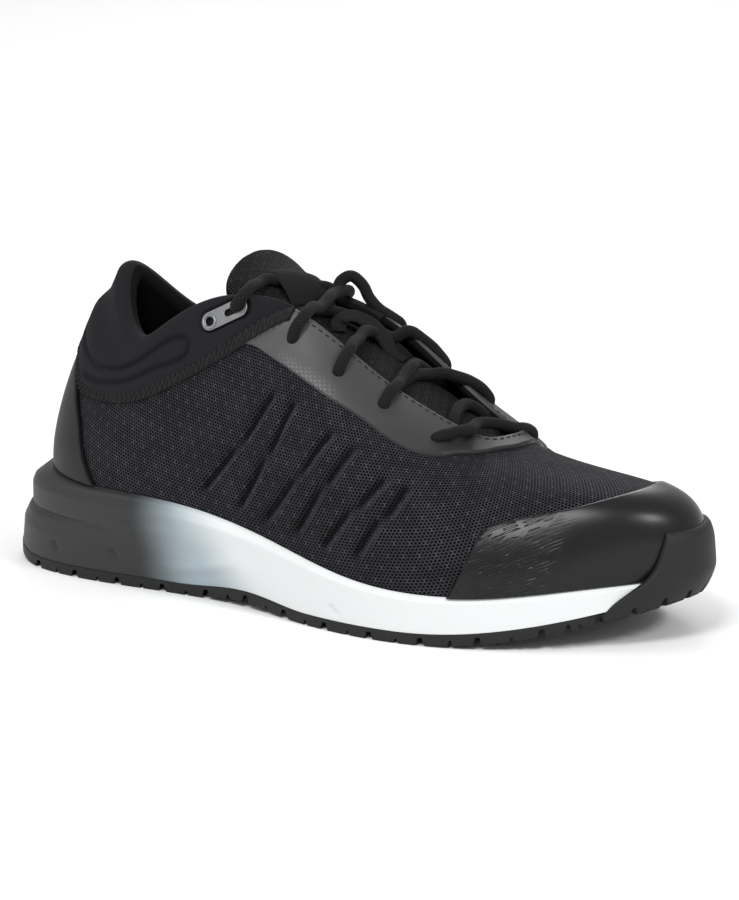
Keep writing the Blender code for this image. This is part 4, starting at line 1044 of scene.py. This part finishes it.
def makeBand():
    share = np.linspace(-1, 1, band["steps"][0])[:, None]
    aside = band["halfWidth"] * np.linspace(-1, 1, band["steps"][1])[None]
    y = band["middle"] + aside
    x = band["fromHeel"] + band["along"] / 2 * share + band["skew"] * aside
    low = np.stack([x, y + 0 * x, tongueTop(x, y) + band["seat"] + band["room"] * arch(share)], -1)
    gap = np.minimum.reduce(edgeGap(low))
    high = low.copy()
    high[..., 2] += band["thick"] * roundedEdge(gap, band["edgeRound"], band["edgeShare"])
    piece = addShell("tongue_band", high, low, finishes["webbing"])
    settle(piece, "keeper_fabric", "tongue_keeper")


makeBand()
print("tongue made")

# Lace: one round braid through the holes, its ends hidden under the throat edges and behind the plates
lace = {
    "radius": 2.35, "sides": 16, "spacing": 0.9, "rest": 0.15, "film": 1.5, "tuck": 1.4,
    # two places on the way from a hole to the throat edge, the lift there, and how far past the edge it goes
    "wrapAt": (0.3, 0.75), "wrap": {"outer": (0.0, 0.4), "inner": (-0.6, -0.9)}, "past": 2.0,
    # lift under a hole and in it, and the way up from it to a run that comes straight down
    "hole": (-2.6, 1.2), "down": 0.04,
    # place and rise of a plate's hole, then place, rise and lift on from there
    "plate": (0.2179, 0.956), "throughPlate": ((0.0, 0.0, -0.8), (0.0006, 0.004, 3.2), (0.004, 0.029, 4.4)),
    # start, points over the tongue as fromHeel, side, lift, then the end: over the throat edge into a hole,
    # straight down into a hole, under the edge, or into a plate
    "runs": (
        (("over", "outer", 0, 0.425, 2.6), ((206.8, 0.0, 2.6), (209.8, 9.0, 2.7)),
         ("over", "inner", 0, 0.572, 1.0)),
        (("under", 202.5, -13.0),
         ((198.5, -3.0, 0.0), (195.5, 6.0, 0.1), (195.0, 12.5, 0.2), (197.0, 17.0, -0.4)),
         ("under", 202.0, 24.0)),
        (("over", "outer", 1, 0.330, 2.4),
         ((177.6, -7.0, 3.2), (175.6, 3.0, 3.0), (172.6, 11.0, 1.0), (172.8, 17.5, -0.6)),
         ("under", 177.0, 24.0)),
        (("over", "inner", 1, 0.660, 2.6),
         ((182.0, 16.3, 3.8), (178.5, 13.0, 1.0), (176.6, 5.0, 0.0), (176.5, -6.0, -0.4)),
         ("under", 176.5, -18.0)),
        (("over", "outer", 2, 0.290, 2.4), ((157.2, -6.5, 4.0), (154.3, 4.0, 2.6), (154.8, 11.0, 1.0)),
         ("under", 166.0, 26.0)),
        (("over", "inner", 2, 0.712, 2.4),
         ((158.5, 17.0, 2.6), (150.5, 13.0, 1.6), (139.0, 5.0, 0.2), (134.0, -5.0, -0.8)),
         ("under", 129.0, -19.0)),
        (("over", "outer", 3, 0.261, 2.4), ((139.4, -6.0, 5.0), (136.8, 4.0, 4.6), (133.4, 11.5, 3.6)),
         ("plate", "inner")),
        (("plate", "outer"),
         ((121.0, -28.5, 8.4), (119.4, -22.5, 5.0), (117.9, -17.5, 1.4), (117.4, -11.0, 0.1),
          (119.3, -6.0, -0.6), (122.3, 1.5, -0.9), (124.0, 10.0, -0.9), (126.5, 17.0, 1.6),
          (129.5, 20.5, 4.0), (130.2, 23.0, 8.8), (132.8, 25.5, 13.3), (137.2, 27.5, 13.6),
          (140.1, 28.0, 10.6), (144.8, 28.0, 8.8), (150.0, 28.0, 9.0), (153.5, 29.5, 9.0)),
         ("down", "inner", 3)),
    ),
}


def onTongue(x, y, lift):  # middle of the lace, lift over where it rests
    return np.array([x, y, tongueTop(x, y) + lace["radius"] + lace["rest"] + lift])


def laceEnd(kind, *where):  # points from the hidden end of a run to where it comes into view
    if kind == "under":
        return [onTongue(*where, -lace["radius"] - lace["tuck"])]
    inner = where[0] == "inner"
    if kind == "plate":
        u, rise = lace["plate"]
        through = [(u + aside, rise + above, lift) for aside, above, lift in lace["throughPlate"]]
        return [skin(float(facing(a)) if inner else a, b, lift) for a, b, lift in through]
    u, rise = eyestay["holes"][where[1]]
    u = float(facing(u)) if inner else u
    onFilm = lace["film"] + lace["radius"]
    points = [skin(u, rise, lift) for lift in lace["hole"]]
    if kind == "down":
        return points + [skin(u, rise + lace["down"], onFilm)]
    edge, height = where[2:]
    for share, lift in zip(lace["wrapAt"], lace["wrap"][where[0]]):
        points.append(skin(u + (edge - u) * share, rise + (1 - rise) * share, onFilm + lift))
    return points + [upperAt(edge, 1.0) + np.array([0.0, -lace["past"] if inner else lace["past"], height])]


def makeLace():
    routes = []
    for start, middle, end in lace["runs"]:
        route = [*laceEnd(*start), *(onTongue(*point) for point in middle), *laceEnd(*end)[::-1]]
        routes.append(smoothRoute(route, lace["spacing"]))
    points, faces, uv = joinTubes(routes, lace["radius"], lace["sides"])
    piece = addPiece("lace_cord", points, faces, [finishes["lace"]], uv=uv, sharp=60)
    settle(piece, "lace_cord", "lace_bar_front", "lace_cross_1", "lace_cross_2", "lace_cross_3",
           "lace_bar_top")
    print("lace made,", round(sum(runAlong(route)[-1] for route in routes)), "mm shown")


makeLace()

tape = {  # webbing loop sewn to the middle of the tongue, one run of the lace goes through it
    # fromHeel, side, height over the tongue
    "path": ((166.0, 13.0, 0.3), (162.0, 11.5, 0.5), (157.0, 10.5, 4.4), (151.5, 8.0, 6.4), (147.0, 3.5, 6.2),
             (144.5, -0.5, 3.4), (145.5, -2.5, 0.2)),
    "spacing": 0.6, "width": 6.5, "thick": 1.1, "edgeRound": 0.8, "edgeShare": 0.35, "tilt": -45.0,
}


def makeTape():
    route = smoothRoute([[x, y, tongueTop(x, y) + lift] for x, y, lift in tape["path"]], tape["spacing"])
    run = unit(np.gradient(route, axis=0))
    side = unit(np.cross(run, [0.0, 0.0, 1.0]))
    up = np.cross(side, run)
    tilt = np.radians(tape["tilt"]) * np.sin(np.pi * np.linspace(0, 1, len(route)))[:, None]
    side, up = side * np.cos(tilt) - up * np.sin(tilt), up * np.cos(tilt) + side * np.sin(tilt)
    share = np.linspace(-1, 1, 11)[:, None, None]
    half = tape["width"] / 2
    low = route + side * share * half
    crown = roundedEdge(half * (1 - np.abs(share)), tape["edgeRound"], tape["edgeShare"]) * tape["thick"]
    settle(addShell("tongue_tape", low + up * crown, low, finishes["webbing"]), "keeper_fabric")


makeTape()


def arc(x, radius, turn):  # points round a place on the plate's middle line
    return [(x + radius * np.cos(a), radius * np.sin(a)) for a in turn]


def plateOutlines():  # edge, round hole and slot
    half, slot = plate["width"] / 2, plate["slotRadius"]
    turn = np.linspace(-np.pi / 2, np.pi / 2, 15)
    return (arc(plateReach, half, turn) + arc(-plateReach, -half, turn),
            arc(-plateReach, plate["hole"], np.linspace(0, 2 * np.pi, 25)[:-1]),
            arc(plateReach + plate["slotPast"], slot, turn) + arc(plate["slotFrom"], -slot, turn))


def plateSheet(name):  # flat at the origin, with its edges bevelled
    curve = bpy.data.curves.new(name, "CURVE")
    curve.dimensions = "2D"
    curve.fill_mode = "BOTH"
    curve.extrude = plate["thick"] * mm / 2 - plate["bevel"] * mm
    curve.bevel_depth = plate["bevel"] * mm
    curve.bevel_resolution = 2
    for outline in plateOutlines():
        spline = curve.splines.new("POLY")
        spline.use_cyclic_u = True
        spline.points.add(len(outline) - 1)
        for point, (x, y) in zip(spline.points, outline):
            point.co = (x * mm, y * mm, 0, 1)
    sheet = bpy.data.objects.new(name, curve)
    bpy.context.scene.collection.objects.link(sheet)
    bpy.ops.object.select_all(action="DESELECT")
    sheet.select_set(True)
    bpy.context.view_layer.objects.active = sheet
    bpy.ops.object.convert(target="MESH")
    return sheet


def addRivet(sheet):  # ring round the hole, joined to the sheet
    major, minor = plate["rivet"]
    bpy.ops.object.select_all(action="DESELECT")
    bpy.ops.mesh.primitive_torus_add(major_radius=major * mm, minor_radius=minor * mm,
                                     major_segments=32, minor_segments=10)
    rivet = bpy.context.active_object
    rivet.data.transform(Matrix.Translation((-plateReach * mm, 0, plate["thick"] * mm / 2)))
    sheet.select_set(True)
    bpy.context.view_layer.objects.active = sheet
    bpy.ops.object.join()
    bpy.ops.object.select_all(action="DESELECT")


def makePlate(name, node, inner):
    sheet = plateSheet(name)
    addRivet(sheet)
    middle, along, out = (Vector(part) for part in plateFrame(inner))
    side = out.cross(along).normalized()
    place = Matrix((along, side, along.cross(side))).transposed().to_4x4()
    place.translation = Vector(toWorld(middle))
    sheet.data.transform(place)
    sheet.data.materials.clear()
    sheet.data.materials.append(finishes["metal"])
    sheet.data.shade_smooth()
    sheet.data.set_sharp_from_angle(angle=np.radians(40))
    settle(sheet, "plate_metal", node)


makePlate("plate_outer", "lace_plate_lateral", False)
makePlate("plate_inner", "lace_plate_medial", True)
print("plates made")

midsole = {
    # heightShare, plainShare, tierShare, notch
    "side": ((0.0, 0.0, 0.0, 0.0), (0.36, 0.48, 0.18, 0.0), (0.56, 0.66, 0.72, 0.0), (0.60, 0.70, 1.0, 1.8),
             (0.64, 0.73, 1.0, 0.0), (0.92, 1.0, 1.0, 0.0), (1.0, 1.0, 1.0, 1.0)),
    # fromHeel, height of the bed
    "bed": ((0.0, 28.5), (50.0, 27.5), (100.0, 26.0), (140.0, 21.0), (180.0, 15.0), (210.0, 13.3),
            (240.0, 14.3), (270.0, 18.5), (300.0, 24.3)),
    "columns": 520, "rows": 76, "soften": 1.3, "gap": 0.3, "rebate": 1.0,
    # gap over the tread, how far out and up the lip stands, height share above which a notch goes all round
    "treadGap": 0.1, "lip": (0.4, 0.25), "notchAll": 0.8,
    # soft ridges on the outer side: fromHeel, height, strength
    "waves": (((84.0, 10.0, 0.0), (100.0, 11.5, 0.8), (115.0, 14.5, 0.9), (134.0, 21.0, 0.0)),
              ((60.0, 24.0, 0.0), (78.0, 25.5, 0.7), (95.0, 25.8, 0.4), (112.0, 24.0, 0.0))),
    "wave": 0.9, "waveWidth": 2.6,
    # small moulding dents: fromHeel, height, each run on by dentRun
    "dents": ((35.2, 11.9), (64.8, 13.5), (176.4, 9.5)),
    "dent": 1.3, "dentWidth": 1.2, "dentRun": (1.3, 0.0, -1.6),
}


def rungs(count, start):  # flat cover of a ring, from each outer point to the inner point that faces it
    half = int(round(count * toe))
    faces = [[start, start + 1, start + count - 1]]
    i, j = 1, count - 1
    while i < half or j > half:
        toInner = (j - half) / (count - half) >= (half - i) / half
        if toInner and j - 1 > half:
            faces.append([start + i, start + j - 1, start + j])
            j -= 1
        elif i + 1 < half:
            faces.append([start + i, start + i + 1, start + j])
            i += 1
        else:
            faces.append([start + i, start + half, start + j])
            break
    if j > half + 1:
        faces += [[start + half, start + k - 1, start + k] for k in range(j, half + 1, -1)]
    return faces


def closedRings(rows):  # faces of rings one above another, covered at the bottom and the top
    count = rows.shape[1]
    faces = gridFaces(len(rows), count, ring=True).tolist()
    return faces + rungs(count, 0) + rungs(count, (len(rows) - 1) * count)


def bedAt(x):  # height of the midsole's bed
    return np.interp(x, *np.array(midsole["bed"]).T)


def nearestSpot(side, x, z):  # point of one side of the midsole, as seen from that side
    return side[np.argmin((side[:, 0] - x) ** 2 + (side[:, 2] - z) ** 2)]


def midsoleRelief(grid):  # soft ridges and small dents, the same on both sides
    half = int(grid.shape[1] * toe)
    lines, spots = [], []
    for side in (grid[:, :half].reshape(-1, 3), grid[:, half:].reshape(-1, 3)):
        for wave in midsole["waves"]:
            x = np.linspace(wave[0][0], wave[-1][0], 60)
            level, strength = smoothLine(x, wave).T
            lines.append(np.column_stack([[nearestSpot(side, a, b) for a, b in zip(x, level)], strength]))
        for x, z in midsole["dents"]:
            spot = nearestSpot(side, x, z)
            spots.append(np.array([[*spot, 1.0], [*(spot + np.array(midsole["dentRun"])), 0.9]]))
    relief = midsole["wave"] * lineRelief(grid, lines, midsole["waveWidth"])
    return relief - midsole["dent"] * lineRelief(grid, spots, midsole["dentWidth"])


def softened(line):  # a profile with its steps rounded off
    window = 6
    blur = np.exp(-(np.arange(-window, window + 1) / midsole["soften"]) ** 2 / 2)
    return np.convolve(np.pad(line, window, mode="edge"), blur / blur.sum(), mode="valid")[:, None]


def midsoleSide(row, out):  # rings up the side, from the tread to the rim
    rimPlan, tier = row[:, :2], row[:, 6]
    foot = rimPlan - out * row[:, 5:6]
    base = groundAt(foot[:, 0]) + last["tread"] + midsole["treadGap"]
    side = np.array(midsole["side"])
    share = np.linspace(0, 1, midsole["rows"])
    plain, stepped, notch = (softened(np.interp(share, side[:, 0], side[:, k])) for k in (1, 2, 3))
    inset = np.where(share[:, None] < midsole["notchAll"], notch * tier, notch)
    mixed = plain + (stepped - plain) * tier
    plan = foot + (rimPlan - foot) * mixed[..., None] - out * inset[..., None]
    height = base + (row[:, 2] - base) * share[:, None]
    grid = np.concatenate([plan, height[..., None]], -1)
    grid[..., :2] += out * midsoleRelief(grid)[..., None]
    return grid


def midsoleTop(u, out):  # a small lip, the rebate that the upper stands in and the bed
    seat = featherAt(u)
    level = seat[:, 2:]
    inside = seat[:, :2] - out * (last["wall"] + midsole["rebate"])
    bed = inside - out
    lipOut, lipUp = midsole["lip"]
    return [np.concatenate([seat[:, :2] + out * lipOut, level + lipUp], -1),
            np.concatenate([seat[:, :2], level - midsole["gap"]], -1),
            np.concatenate([inside, level - midsole["gap"] - midsole["rebate"]], -1),
            np.concatenate([bed, bedAt(bed[:, :1])], -1)]


def makeMidsole():
    u = np.linspace(0, 1, midsole["columns"], endpoint=False)
    out = outward(u)[:, :2]
    rows = np.concatenate([midsoleSide(closedSpline(u, rimRows), out), midsoleTop(u, out)])
    piece = addPiece("midsole_foam", rows.reshape(-1, 3), closedRings(rows), [finishes["foam"]])
    settle(piece, "midsole_foam", "midsole")


makeMidsole()
print("midsole made")

insole = {
    "inset": 4.6, "seat": 0.4, "thick": 4.0, "columns": 240,
    # share of the way from the edge to the middle line, share of the thickness
    "rings": ((0.0, 0.9), (0.015, 1.0), (0.08, 0.96), (0.2, 0.88), (0.4, 0.84), (0.65, 0.82), (0.97, 0.82)),
    # fromHeel, side of the middle line
    "spine": ((0, 0), (150, 2), (300, 8)),
}


def makeInsole():
    u = np.linspace(0, 1, insole["columns"], endpoint=False)
    edge = featherAt(u)[:, :2] - outward(u)[:, :2] * insole["inset"]
    spine = np.stack([edge[:, 0], np.interp(edge[:, 0], *np.array(insole["spine"]).T)], -1)
    rings = [np.column_stack([edge, bedAt(edge[:, 0]) + insole["seat"]])]
    for pull, lift in insole["rings"]:
        plan = edge + (spine - edge) * pull
        rings.append(np.column_stack([plan, bedAt(plan[:, 0]) + insole["seat"] + insole["thick"] * lift]))
    rows = np.array(rings)
    piece = addPiece("insole_bed", rows.reshape(-1, 3), closedRings(rows), [finishes["insole"]])
    settle(piece, "insole_fabric", "insole")


makeInsole()

outsole = {
    "steps": 520, "lanes": 104, "lip": -1.4, "spread": 9.0, "grooveSlope": 0.5,
    # side of the tread: bevel, how far it stands out and at its top, least height over a groove
    "bevel": 0.5, "sideOut": 0.3, "topOut": 0.1, "sideLeast": 0.3,
    # share of half width, where it starts and ends from the heel, width
    "long": ((-0.50, 14.0, 250.0, 3.6), (-0.13, 8.0, 268.0, 3.6), (0.26, 10.0, 272.0, 3.6),
             (0.63, 20.0, 262.0, 3.2)),
    # first, last, count, lean, shareIn, shareOut, width
    "cross": ((18.0, 250.0, 12, 9.0, -0.50, -1.12, 2.6), (30.0, 262.0, 11, -8.0, 0.63, 1.14, 2.6)),
    # first, last, count, shareA, shareB, bend, width
    "bent": ((26.0, 236.0, 7, -0.50, -0.13, 9.0, 2.6), (30.0, 254.0, 8, -0.13, 0.26, -9.0, 2.6),
             (30.0, 246.0, 7, 0.26, 0.63, 9.0, 2.6)),
    "depth": {"long": 3.0, "cross": 3.0, "bent": 2.2, "sipe": 1.4, "zigzag": 2.2},
    # width of the fine cuts, and the steps of those that lie between two cross grooves
    "sipe": 1.2, "jog": (0.0, 2.2, -1.0, 1.2, 0.0),
    # first place, last place, step and width of the cuts round the toe, and how far they reach out and in
    "toeCuts": (0.428, 0.600, 0.0165, 2.0), "toeReach": (4, 7),
    # heightShare, endOuterY, endInnerY, thick
    "bumper": ((0.0, -25.5, 36.5, 1.4), (0.22, -20.0, 35.0, 1.8), (0.42, -13.0, 33.0, 2.4),
               (0.80, -8.0, 30.0, 2.4), (1.0, -6.5, 29.0, 1.8)),
    "bumperRows": 44, "bumperColumns": 160, "bumperRound": 2.4, "bumperEdge": 0.15, "bumperReach": 0.45,
    "bumperTop": 44.0, "bumperFoot": 0.5, "bumperSeat": 0.9, "bumperBlend": 10.0, "bumperLift": 1.9,
    "bumperTuck": 3.0, "tuckShare": 0.4,
}


def toePlace(y):  # place round the toe that stands at side y
    row = last["toeRow"]
    reach = np.linspace(knots[row - 2], knots[row + 2], 400)
    return np.interp(y, closedSpline(reach, rimRows)[:, 1], reach)


def treadEdge(u):  # plan of the tread's rim, drawn in under the toe bumper
    row = closedSpline(u, rimRows)
    low, high = toePlace(outsole["bumper"][0][1]), toePlace(outsole["bumper"][0][2])
    fade = outsole["spread"] / rimLength
    window = np.minimum(np.clip((u - low + fade) / fade, 0, 1), np.clip((high + fade - u) / fade, 0, 1))
    return row[..., :2] + outward(u)[..., :2] * (outsole["lip"] * window - row[..., 5])[..., None]


def across(x, share):  # plan points at shares of half the tread's width
    outer = treadEdge(np.linspace(0, toe, 300))
    inner = treadEdge(np.linspace(1, toe, 300))
    low, high = np.interp(x, outer[:, 0], outer[:, 1]), np.interp(x, inner[:, 0], inner[:, 1])
    return np.stack([x, (low + high) / 2 + (high - low) / 2 * share], -1)


def grooveRuns():  # each groove as a run of plan points, with its width and depth
    depth = outsole["depth"]
    for share, first, end, width in outsole["long"]:
        yield across(np.linspace(first, end, 60), share), width, depth["long"]
    for first, end, count, lean, shareIn, shareOut, width in outsole["cross"]:
        step = (end - first) / (count - 1)
        for x in np.linspace(first, end, count):
            yield across(np.array([x, x + lean]), np.array([shareIn, shareOut])), width, depth["cross"]
            at = x + step / 2 + lean * np.linspace(0, 1, 5) + np.array(outsole["jog"])
            yield across(at, np.linspace(shareIn * 1.06, shareOut, 5)), outsole["sipe"], depth["zigzag"]
    first, end, step, width = outsole["toeCuts"]
    outReach, inReach = outsole["toeReach"]
    for u in np.arange(first, end, step):
        edge, out = treadEdge(u), outward(u)[:2]
        yield np.array([edge + out * outReach, edge - out * inReach]), width, depth["cross"]
    for first, end, count, shareA, shareB, bend, width in outsole["bent"]:
        share = shareA + (shareB - shareA) * np.array([0.0, 0.4, 0.6, 1.0])
        step = (end - first) / (count - 1)
        for x in np.linspace(first, end, count):
            at = x + bend * np.array([0.0, 0.0, 1.0, 1.0])
            yield across(at, share), width, depth["bent"]
            yield across(at + step / 2, share), outsole["sipe"], depth["sipe"]


def treadDepth(plan):  # depth of the grooves at plan points
    depth = np.zeros(plan.shape[:-1])
    flat = plan.reshape(-1, 2)
    out = depth.reshape(-1)
    slope = outsole["grooveSlope"]
    for run, width, deep in grooveRuns():
        for a, b in zip(run[:-1], run[1:]):
            box = (flat > np.minimum(a, b) - width) & (flat < np.maximum(a, b) + width)
            near = np.flatnonzero(box.all(1))
            along = b - a
            t = np.clip(((flat[near] - a) @ along) / (along @ along), 0, 1)
            gap = np.linalg.norm(flat[near] - a - t[:, None] * along, axis=1)
            cut = deep * np.clip((width / 2 + slope / 2 - gap) / slope, 0, 1)
            out[near] = np.maximum(out[near], cut)
    return depth


def bumperShell():  # rubber that wraps up the toe, rounded along its top and ends
    share = np.linspace(0, 1, outsole["bumperRows"])
    endOuter, endInner, thick = smoothLine(share, outsole["bumper"]).T
    w = np.linspace(0, 1, outsole["bumperColumns"])
    u = toePlace(endOuter)[:, None] * (1 - w) + toePlace(endInner)[:, None] * w
    row = closedSpline(u, rimRows)
    out = outward(u)
    foot = groundAt(row[..., 0]) + outsole["bumperFoot"]
    height = foot + (outsole["bumperTop"] - foot) * share[:, None]
    height = np.maximum(height, foot + treadDepth(row[..., :2]))
    climb = np.linspace(0, outsole["bumperReach"], 50)[:, None, None]
    wall = skin(u, climb, outsole["bumperLift"])
    stand = np.zeros_like(u)
    for i, j in np.ndindex(*u.shape):
        plan = np.array([np.interp(height[i, j], wall[:, i, j, 2], wall[:, i, j, k]) for k in (0, 1)])
        stand[i, j] = (plan - row[i, j, :2]) @ out[i, j, :2]
    above = np.clip((height - row[..., 2]) / outsole["bumperBlend"], 0, 1)
    stand += (outsole["bumperSeat"] - stand) * (1 - above) ** 2 * (1 + 2 * above)
    stand -= outsole["bumperTuck"] * np.clip(1 - share / outsole["tuckShare"], 0, 1)[:, None] ** 2
    behind = np.concatenate([row[..., :2] + out[..., :2] * stand[..., None], height[..., None]], -1)
    gap = np.minimum.reduce(edgeGap(behind)[1:])
    full = roundedEdge(gap, outsole["bumperRound"], outsole["bumperEdge"])
    front = behind + out * (thick[:, None] * full)[..., None]
    return np.concatenate([front.reshape(-1, 3), behind.reshape(-1, 3)]), shellFaces(*u.shape)


def treadShell():  # grooved underside, the side round it and a flat top
    u = np.linspace(0, toe, outsole["steps"] + 2)
    outer, inner = treadEdge(u), treadEdge(facing(u))
    t = np.linspace(0, 1, outsole["lanes"])[None, :, None]
    plan = outer[1:-1, None] * (1 - t) + inner[1:-1, None] * t
    under = np.concatenate([plan, (groundAt(plan[..., 0]) + treadDepth(plan))[..., None]], -1)
    rows, cols = under.shape[:2]
    ends = [[*end, groundAt(end[0])] for end in (outer[0], outer[-1])]
    points = [under.reshape(-1, 3), np.array(ends)]
    heelAt, tipAt = rows * cols, rows * cols + 1
    faces = gridFaces(rows, cols)[:, ::-1].tolist()
    faces += [[heelAt, k, k + 1] for k in range(cols - 1)]
    faces += [[tipAt, (rows - 1) * cols + k + 1, (rows - 1) * cols + k] for k in range(cols - 1)]

    # three rings over the rim of the underside, and the flat top
    side = np.arange(rows) * cols
    rim = np.concatenate([[heelAt], side, [tipAt], side[::-1] + cols - 1])
    rimPlan = np.concatenate([outer, inner[-2:0:-1]])
    out = outward(np.concatenate([u, facing(u[-2:0:-1])]))[:, :2]
    low = groundAt(rimPlan[:, 0])
    top = low + last["tread"]
    rimZ = np.concatenate(points)[rim][:, 2]
    bevel, sideOut = outsole["bevel"], outsole["sideOut"]
    for spread, height in ((sideOut, np.maximum(rimZ, low + bevel)),
                           (sideOut, np.maximum(rimZ + outsole["sideLeast"], top - bevel)),
                           (outsole["topOut"], top)):
        points.append(np.column_stack([rimPlan + out * spread, height]))
    count = len(rim)
    rings = [rim, *(tipAt + 1 + k * count + np.arange(count) for k in range(3))]
    for lower, higher in zip(rings[:-1], rings[1:]):
        faces += np.stack([lower, np.roll(lower, -1), np.roll(higher, -1), higher], -1).tolist()
    cover = rings[-1]
    half = outsole["steps"] + 1
    faces.append([cover[0], cover[1], cover[-1]])
    faces += [[cover[k], cover[k + 1], cover[count - k - 1], cover[count - k]] for k in range(1, half - 1)]
    faces.append([cover[half - 1], cover[half], cover[half + 1]])
    return np.concatenate(points), faces


def makeOutsole():
    points, faces = treadShell()
    bumperPoints, bumperFaces = bumperShell()
    faces += (bumperFaces + len(points)).tolist()
    points = np.concatenate([points, bumperPoints])
    piece = addPiece("outsole_rubber", points, faces, [finishes["rubber"]], sharp=38)
    settle(piece, "outsole_rubber", "outsole")


makeOutsole()
print("outsole made")

# Stage, light and camera
studio = {
    "floor": 6.0,
    "azimuth": 33.0, "elevation": 13.038, "distance": 1.5, "lens": 153.9,
    # point looked at in millimetres from the heel, and how far the view is moved aside and up from it
    "target": (150.0, 0.0, 55.0), "aside": 6.9, "above": 1.4,
    # name, place in metres round the shoe, size, watts
    "lights": (("key", (0.4, -1.4, 1.75), 0.65, 24.0), ("side", (1.55, -0.25, 1.2), 0.32, 12.0),
               ("left", (-1.3, -0.9, 1.2), 0.9, 5.0), ("back", (-1.0, 2.0, 1.5), 0.9, 14.0)),
    "lightAim": (0, 0, 0.05),
    "world": 0.6,
}


def lookAt(item, place, aim):
    item.rotation_euler = (Vector(aim) - Vector(place)).to_track_quat("-Z", "Y").to_euler()


def makeStage():
    bpy.ops.mesh.primitive_plane_add(size=studio["floor"])
    floor = bpy.context.active_object
    floor.name = "floor"
    paint = Finish("floorPaint", roughness=0.9, specular=0.1)
    paint.feed("colour", paint.mix(paint.noise(3.0), (0.92, 0.92, 0.92), (0.94, 0.94, 0.94)))
    floor.data.materials.append(paint.material)
    for name, place, size, watts in studio["lights"]:
        bpy.ops.object.light_add(type="AREA", location=place)
        lamp = bpy.context.active_object
        lamp.name = name
        lamp.data.size = size
        lamp.data.energy = watts
        lookAt(lamp, place, studio["lightAim"])
    sky = bpy.data.worlds.new("studio")
    sky.use_nodes = True
    light = sky.node_tree.nodes["Background"].inputs
    light["Color"].default_value = (1, 1, 1, 1)
    light["Strength"].default_value = studio["world"]
    bpy.context.scene.world = sky
    bpy.context.scene.view_settings.view_transform = "Standard"


def makeCamera():
    turn, tilt = np.radians(studio["azimuth"]), np.radians(studio["elevation"])
    toward = Vector((np.sin(turn) * np.cos(tilt), -np.cos(turn) * np.cos(tilt), np.sin(tilt)))
    right = Vector((np.cos(turn), np.sin(turn), 0))
    target = Vector(toWorld(studio["target"]))
    eye = target + toward * studio["distance"]
    bpy.ops.object.camera_add(location=eye)
    camera = bpy.context.active_object
    lookAt(camera, eye, target + right * studio["aside"] * mm + toward.cross(right) * studio["above"] * mm)
    camera.data.lens = studio["lens"]
    camera.data.clip_end = 20
    bpy.context.scene.camera = camera


makeStage()
makeCamera()
bpy.ops.object.select_all(action="DESELECT")
print("stage ready")
